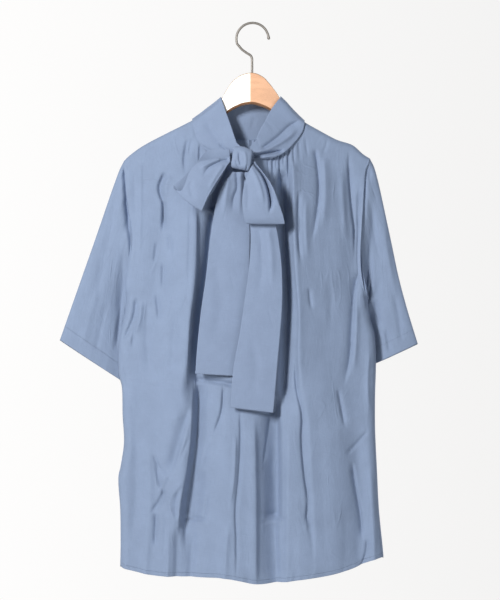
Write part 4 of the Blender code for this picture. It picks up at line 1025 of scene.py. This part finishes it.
LOOP_R_ROWS = [
    (2.4, -40.0, -215.0, -7.0, -38.5, -235.0),
    (14.0, -39.0, -233.0, -10.5, -39.0, -246.0),
    (27.0, -38.5, -257.0, -12.0, -39.0, -268.0),
    (38.0, -39.0, -280.0, -14.0, -39.5, -292.0),
    (46.0, -41.0, -303.0, -12.0, -41.5, -308.0),
    (49.6, -45.5, -314.8, -9.0, -46.0, -313.8),
    (46.6, -51.0, -301.0, -13.0, -51.5, -303.0),
    (41.5, -54.0, -286.0, -15.2, -54.5, -288.0),
    (36.8, -55.5, -272.0, -15.5, -55.5, -276.0),
    (28.8, -55.5, -254.5, -14.0, -55.0, -262.0),
    (19.5, -54.0, -240.5, -12.0, -53.5, -252.0),
    (10.5, -52.0, -228.5, -9.5, -51.0, -243.0),
    (2.4, -49.0, -219.0, -7.0, -48.5, -236.5),
]
TAIL_L_ROWS = [
    (-233.5, -31.0, -15.0, -34.0),
    (-245.0, -40.0, -12.5, -31.0),
    (-262.0, -50.5, -8.5, -28.0),
    (-290.0, -58.0, -6.0, -25.5),
    (-330.0, -64.0, -4.0, -24.0),
    (-395.0, -72.0, -5.5, -23.0),
    (-450.0, -80.0, -11.0, -22.5),
    (-507.0, -86.0, -18.0, -22.0),
    (-545.0, -88.5, -21.0, -22.0),
]
TAIL_R_ROWS = [
    (-233.5, -12.0, 2.0, -34.5),
    (-248.0, -10.0, 10.0, -34.0),
    (-275.0, -8.5, 24.0, -33.5),
    (-300.0, -5.0, 33.0, -33.0),
    (-332.0, -3.0, 39.0, -32.0),
    (-372.0, -4.5, 44.5, -31.0),
    (-430.0, -12.0, 46.0, -30.5),
    (-484.0, -20.0, 42.6, -30.0),
    (-540.0, -30.0, 37.5, -29.5),
    (-597.0, -34.0, 32.0, -29.5),
]
TAIL_L_CREASES_FV = [
    ([(236.4, 172), (237.5, 189), (234, 197), (232, 215)], -2.2, 3.5, 4.5, 1.5, 0.0, 0.4),
    ([(244.4, 172), (244, 185), (242, 200)], -1.6, 3.0, 4.0, 1.5, 0.0, 0.5),
    ([(229, 176), (226, 196), (224, 222)], 1.6, 5.0, 5.0, 1.8, 0.1, 0.5),
    ([(240, 172), (240, 196), (239, 220)], 1.4, 4.0, 4.0, 1.8, 0.1, 0.5),
    ([(212, 245), (220, 300), (214, 350)], -0.8, 10.0, 12.0, 1.9, 0.3, 0.3),
    ([(198, 361), (214, 362.5), (230, 364)], -0.5, 2.0, 2.4, 1.4, 0.2, 0.2),
]
TAIL_R_CREASES_FV = [
    ([(258, 225), (262, 260), (258, 300)], -1.0, 7.0, 8.0, 1.8, 0.1, 0.4),
    ([(268, 228), (271, 250), (272, 290)], 1.2, 5.0, 6.0, 1.8, 0.1, 0.4),
    ([(250, 330), (256, 365), (252, 395)], -0.8, 9.0, 10.0, 1.9, 0.3, 0.2),
]


def loop_grid(rows, stations, across, bulge, fold, belly):
    """fold is the share of the run at which the strip turns over, and belly
    how far the turned edge bows out in its middle."""
    table = catmull(rows, stations)
    grid = np.zeros((stations, across, 3))
    for i, r in enumerate(table):
        t = i / (stations - 1)
        for j in range(across):
            v = j / (across - 1)
            p = r[:3] * (1 - v) + r[3:] * v
            turned = 1.0 if t > fold else -0.4
            p[1] -= turned * bulge * math.sin(math.pi * v) * math.sin(math.pi * t) ** 0.5
            p[2] -= belly * math.sin(math.pi * v) * math.exp(-((t - fold) / 0.10) ** 2)
            grid[i, j] = p
    return grid


def tail_grid(rows, stations, across, bulge, tilt):
    table = catmull(rows, stations)
    grid = np.zeros((across, stations, 3))
    for j, (z, xl, xr, y) in enumerate(table):
        for i in range(across):
            v = i / (across - 1)
            grid[i, j] = (xl + (xr - xl) * v,
                          y - bulge * math.sin(math.pi * v) * (1 - 0.5 * j / stations),
                          z - tilt * v * smooth((j / (stations - 1) - 0.75) / 0.25))
    return grid


def bow_part(name, grid, size, node, creases=(), wrap=False, front_from=0.0):
    g = refine(grid, *size, wrap=wrap)
    if creases:
        t = np.arange(len(g)) / (len(g) - 1)
        only = smooth((t - front_from) / 0.05)[:, None] if front_from else 1.0
        g[..., 1] -= crease_sum(creases, g[..., 0], g[..., 2]) * only
    return cloth(name, g, BAND_WALL, tie_mat, flat_uv(g, wrap=wrap), wrap=wrap,
                 node=node), g


loop_l, loop_l_grid = bow_part("bow_loop_on_left",
                               loop_grid(LOOP_L_ROWS, 34, 7, 2.2, 0.47, 4.5),
                               (150, 52), "bow_loop_left", LOOP_L_CREASES_FV,
                               front_from=0.50)
loop_r, loop_r_grid = bow_part("bow_loop_on_right",
                               loop_grid(LOOP_R_ROWS, 30, 7, 2.0, 0.53, 0.8),
                               (150, 60), "bow_loop_right", LOOP_R_CREASES_FV,
                               front_from=0.52)
tail_l, tail_l_grid = bow_part("bow_tail_on_left", tail_grid(TAIL_L_ROWS, 14, 5, 1.5, 4.0),
                               (44, 160), "bow_tail_left", TAIL_L_CREASES_FV)
tail_r, tail_r_grid = bow_part("bow_tail_on_right", tail_grid(TAIL_R_ROWS, 16, 5, 1.5, 8.0),
                               (44, 180), "bow_tail_right", TAIL_R_CREASES_FV)

KNOT_ROWS = [
    (-30.8, -210.6, 12.6, 6.6),
    (-29.6, -210.8, 15.2, 8.6),
    (-26.5, -211.4, 16.2, 9.6),
    (-20.0, -212.0, 17.2, 10.4),
    (-12.0, -213.8, 17.0, 10.6),
    (-6.0, -215.8, 16.2, 10.0),
    (-3.2, -216.4, 15.6, 8.8),
    (-2.0, -216.8, 13.0, 6.8),
]
KNOT_Y = -39.5
KNOT_CREASES_FV = [
    ([(239.0, 152), (239.2, 160), (241.2, 168)], -1.5, 1.8, 2.8, 1.6, 0.3, 0.2),
    ([(235.5, 160), (237, 166), (240, 171)], -0.9, 1.5, 1.8, 1.5, 0.3, 0.2),
    ([(244, 152), (246, 160), (245, 170)], 1.0, 3.0, 2.6, 1.8, 0.2, 0.1),
    ([(246.8, 166), (246.0, 173)], -1.2, 1.4, 1.6, 1.5, 0.4, 0.0),
]


def knot_grid(rows, around=16):
    grid = np.zeros((around, len(rows), 3))
    for j, (x, z, hz, hy) in enumerate(rows):
        for i in range(around):
            a = 2 * math.pi * i / around
            c, s = math.cos(a), math.sin(a)
            grid[i, j] = (x + 2.0 * s, KNOT_Y - hy * np.sign(c) * abs(c) ** 0.74,
                          z + hz * np.sign(s) * abs(s) ** 0.84)
    return grid


knot, knot_points = bow_part("bow_knot_cloth", knot_grid(KNOT_ROWS, 24), (120, 52),
                             "bow_knot", KNOT_CREASES_FV, wrap=True)

# ------------------------------------------------------------------------ hanger
HANGER_ROWS = [
    (-193.0, -208.6, -212.0, 2.4), (-190.0, -206.0, -214.4, 4.4),
    (-180.0, -197.4, -214.6, 5.6), (-163.4, -187.8, -208.5, 6.0),
    (-135.6, -173.8, -197.5, 6.0), (-94.1, -154.0, -178.5, 6.0),
    (-72.0, -141.5, -165.0, 6.0), (-54.0, -124.6, -151.0, 6.0),
    (-48.6, -118.6, -146.5, 6.0), (-46.4, -113.8, -144.0, 6.0),
    (-40.3, -102.6, -139.5, 6.0), (-31.8, -90.5, -134.0, 6.0),
    (-24.0, -84.0, -130.3, 6.0), (-16.9, -80.1, -127.6, 6.0),
    (-8.0, -77.6, -126.0, 6.0), (0.0, -77.0, -125.7, 6.0),
    (8.0, -78.6, -127.3, 6.0), (18.6, -84.5, -130.8, 6.0),
    (25.0, -91.3, -133.8, 6.0), (31.9, -99.4, -138.0, 6.0),
    (41.4, -112.6, -144.6, 6.0), (43.6, -118.0, -147.0, 6.0),
    (53.0, -127.6, -153.6, 6.0), (67.9, -145.4, -164.5, 6.0),
    (80.0, -156.2, -174.0, 6.0), (105.2, -169.8, -191.0, 6.0),
    (132.8, -183.8, -203.0, 6.0), (157.8, -192.6, -209.4, 5.8),
    (170.0, -201.6, -212.0, 4.8), (174.0, -205.4, -210.8, 2.6),
]
RIDGE_X = -3.4           # where the wood's two front facets meet


def hanger_mesh():
    rows = np.asarray(HANGER_ROWS, float)
    xs = np.unique(np.concatenate([np.linspace(-193.0, 174.0, 190),
                                   np.linspace(-50.0, 45.0, 120), [RIDGE_X]]))
    rings, dark = [], []
    for x in xs:
        top, bottom, half = (float(np.interp(x, rows[:, 0], rows[:, c])) for c in (1, 2, 3))
        if -60 < x < 56:      # ease the dome's line
            t = catmull(rows[:, :2], 240)
            top = float(np.interp(x, t[:, 0], t[:, 1]))
            t = catmull(rows[:, [0, 2]], 240)
            bottom = float(np.interp(x, t[:, 0], t[:, 1]))
        mid = float(y_mid(np.array([x]), np.array([-150.0]))[0])
        b = min(2.2, half * 0.5, (top - bottom) * 0.3)
        fr = -half - 4.6 * max(0.0, 1.0 - abs(x - RIDGE_X) / 46.0)
        under = min(3.4, (top - bottom) * 0.25)
        ring = []
        for q in range(7):                        # upper front edge, eased
            a = math.pi / 2 * q / 6
            ring.append((fr + b - b * math.cos(math.pi / 2 - a), top - b + b * math.sin(math.pi / 2 - a)))
        ring += [(fr, top - (top - bottom - under) * t) for t in (0.35, 0.65)]
        ring += [(fr, bottom + under), (fr + 0.5, bottom + under - 0.7),
                 (fr + 2.6, bottom + 0.4), (fr + 3.4, bottom), (half - b, bottom)]
        for q in range(1, 6):
            a = math.pi / 2 * q / 6
            ring.append((half - b + b * math.sin(a), bottom + b - b * math.cos(a)))
        ring += [(half, bottom + b), (half, top - b)]
        for q in range(1, 7):
            a = math.pi / 2 * q / 6
            ring.append((half - b + b * math.cos(a), top - b + b * math.sin(a)))
        rings.append([(x, mid + y, z) for y, z in ring])
    g = np.asarray(rings) * MM
    n, m = g.shape[:2]
    idx = np.arange(n * m).reshape(n, m)
    a = np.hstack([idx, idx[:, :1]])
    quads = np.stack([a[:-1, :-1], a[:-1, 1:], a[1:, 1:], a[1:, :-1]], -1).reshape(-1, 4)
    faces = quads.tolist() + [idx[0].tolist(), idx[-1][::-1].tolist()]
    me = bpy.data.meshes.new("hanger_wood_form")
    me.from_pydata(g.reshape(-1, 3).tolist(), [], faces)
    me.materials.append(wood_with_painted_light_material())
    me.materials.append(shaded_edge_material())
    for k, poly in enumerate(me.polygons):
        column = k % m if k < len(quads) else -1
        # columns 9 to 11 are the lower front chamfer, which gets the painted shade
        poly.material_index = 1 if column in (9, 10, 11) else 0
    me.update()
    me.shade_smooth()
    ob = bpy.data.objects.new("hanger_wood_form", me)
    bpy.context.scene.collection.objects.link(ob)
    me.set_sharp_from_angle(angle=math.radians(7.5))
    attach(ob, "root")
    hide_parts("hanger_body")
    return ob


hanger = hanger_mesh()

HOOK_R = 25.1
HOOK_CENTRE = (0.0, -23.2)
HOOK_KEYS = [(25.4, -24.6), (25.2, -21.0)] + [
    (HOOK_CENTRE[0] + HOOK_R * math.cos(math.radians(a)),
     HOOK_CENTRE[1] + HOOK_R * math.sin(math.radians(a)))
    for a in range(20, 200, 22)] + [
    (-21.6, -33.6), (-16.2, -39.8), (-8.8, -45.2), (-3.0, -49.0),
    (-0.9, -53.0), (-0.6, -60.0), (-0.6, -74.0), (-0.6, -90.0)]


def hook_mesh(count=150, around=20):
    line = catmull(HOOK_KEYS, count)
    s = chord(line)
    tangent = np.gradient(line, s, axis=0)
    tangent /= np.linalg.norm(tangent, axis=1)[:, None]
    rings = []
    for k in range(count):
        d = s[k]
        r = 1.9 + 0.5 * math.exp(-((d - 3.0) / 2.6) ** 2)      # small bead end
        if d < 1.9:
            r = max(0.15, r * math.sqrt(max(0.0, 1 - (1 - d / 1.9) ** 2)))
        n = np.array([-tangent[k, 1], tangent[k, 0]])
        for q in range(around):
            a = 2 * math.pi * q / around
            rings.append((line[k, 0] + n[0] * r * math.cos(a), r * math.sin(a),
                          line[k, 1] + n[1] * r * math.cos(a)))
    g = np.asarray(rings).reshape(count, around, 3) * MM
    idx = np.arange(count * around).reshape(count, around)
    a = np.hstack([idx, idx[:, :1]])
    quads = np.stack([a[:-1, :-1], a[:-1, 1:], a[1:, 1:], a[1:, :-1]], -1).reshape(-1, 4)
    me = bpy.data.meshes.new("hook_wire")
    me.from_pydata(g.reshape(-1, 3).tolist(), [],
                   quads.tolist() + [idx[0].tolist(), idx[-1][::-1].tolist()])
    me.materials.append(steel_material())
    me.shade_smooth()
    ob = bpy.data.objects.new("hook_wire", me)
    bpy.context.scene.collection.objects.link(ob)
    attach(ob, "root")
    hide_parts("hanger_hook")
    return ob


hook = hook_mesh()

# ------------------------------------------------------------------------- stage
floor_mesh = bpy.data.meshes.new("floor")
FLOOR_R, FLOOR_Z = 9.2, -2.6
rim = [(FLOOR_R * math.cos(math.radians(a)), FLOOR_R * math.sin(math.radians(a)), FLOOR_Z)
       for a in range(0, 360, 5)]
floor_mesh.from_pydata(rim, [], [tuple(range(len(rim)))])
floor = bpy.data.objects.new("floor", floor_mesh)
bpy.context.scene.collection.objects.link(floor)
fm = Nodes("pale floor")
fn = fm.noise(fm.tree.nodes.new("ShaderNodeTexCoord").outputs["Object"], 3.0, 2.0)
fm.link(fm.ramp(fn, [(0.3, (0.90, 0.895, 0.885)), (0.7, (0.92, 0.915, 0.905))]),
        fm.shader.inputs["Base Color"])
fm.shader.inputs["Roughness"].default_value = 0.8
floor_mesh.materials.append(fm.mat)

scene = bpy.context.scene
scene.view_settings.view_transform = "Standard"
world = bpy.data.worlds.new("studio")
scene.world = world
world.use_nodes = True
wt = world.node_tree
bg = wt.nodes["Background"]
tc = wt.nodes.new("ShaderNodeTexCoord")
sp = wt.nodes.new("ShaderNodeSeparateXYZ")
mr = wt.nodes.new("ShaderNodeMapRange")
mr.interpolation_type = "SMOOTHSTEP"
mr.inputs["From Min"].default_value = -0.30
mr.inputs["From Max"].default_value = 0.75
rp = wt.nodes.new("ShaderNodeValToRGB")
rp.color_ramp.elements[0].color = (0.10, 0.102, 0.108, 1.0)
rp.color_ramp.elements[1].color = (0.955, 0.95, 0.945, 1.0)
wt.links.new(tc.outputs["Generated"], sp.inputs[0])
wt.links.new(sp.outputs[1], mr.inputs["Value"])
level = wt.nodes.new("ShaderNodeMath")            # a pale band at eye level all round
level.operation = "ABSOLUTE"
band = wt.nodes.new("ShaderNodeMapRange")
band.interpolation_type = "SMOOTHSTEP"
band.inputs["From Min"].default_value = 0.40
band.inputs["From Max"].default_value = 0.22
band.inputs["To Max"].default_value = 0.36
most = wt.nodes.new("ShaderNodeMath")
most.operation = "MAXIMUM"
wt.links.new(sp.outputs[2], level.inputs[0])
wt.links.new(level.outputs[0], band.inputs["Value"])
wt.links.new(band.outputs["Result"], most.inputs[0])
wt.links.new(mr.outputs["Result"], most.inputs[1])
wt.links.new(most.outputs[0], rp.inputs["Fac"])
across = wt.nodes.new("ShaderNodeMapRange")       # paler on the left
across.inputs["From Min"].default_value = -0.16
across.inputs["From Max"].default_value = 0.16
across.inputs["To Min"].default_value = 1.04
across.inputs["To Max"].default_value = 0.94
tint = wt.nodes.new("ShaderNodeVectorMath")
tint.operation = "SCALE"
wt.links.new(sp.outputs[0], across.inputs["Value"])
wt.links.new(rp.outputs["Color"], tint.inputs[0])
wt.links.new(across.outputs["Result"], tint.inputs["Scale"])
wt.links.new(tint.outputs[0], bg.inputs["Color"])
bg.inputs["Strength"].default_value = 1.0


def area_light(name, place, aim, size, power, colour=(1, 1, 1)):
    data = bpy.data.lights.new(name, "AREA")
    data.shape = "RECTANGLE"
    data.size, data.size_y = size
    data.energy = power
    data.color = colour
    ob = bpy.data.objects.new(name, data)
    scene.collection.objects.link(ob)
    ob.location = place
    ob.rotation_euler = (Vector(aim) - Vector(place)).to_track_quat("-Z", "Y").to_euler()
    return ob


area_light("key", (-1.72, -2.55, 0.62), (0.0, 0.0, -0.42), (0.6, 0.8), 132.0, (1.0, 0.985, 0.965))
area_light("fill", (2.4, -2.6, -0.2), (0.0, 0.0, -0.42), (1.6, 1.6), 20.0, (0.95, 0.97, 1.0))
area_light("back key", (1.9, 2.3, 0.5), (0.0, 0.0, -0.42), (1.2, 1.5), 36.0, (1.0, 0.99, 0.97))

DISTANCE = 2.62
cam_data = bpy.data.cameras.new("camera")
cam_data.sensor_width = 36.0
cam_data.lens = 36.0 * (DISTANCE - 0.02) / 0.930
cam_data.clip_end = 100.0
camera = bpy.data.objects.new("camera", cam_data)
scene.collection.objects.link(camera)
camera.location = (-0.0039, -DISTANCE, -0.4309)
camera.rotation_euler = (math.radians(90.0), 0.0, 0.0)
scene.camera = camera
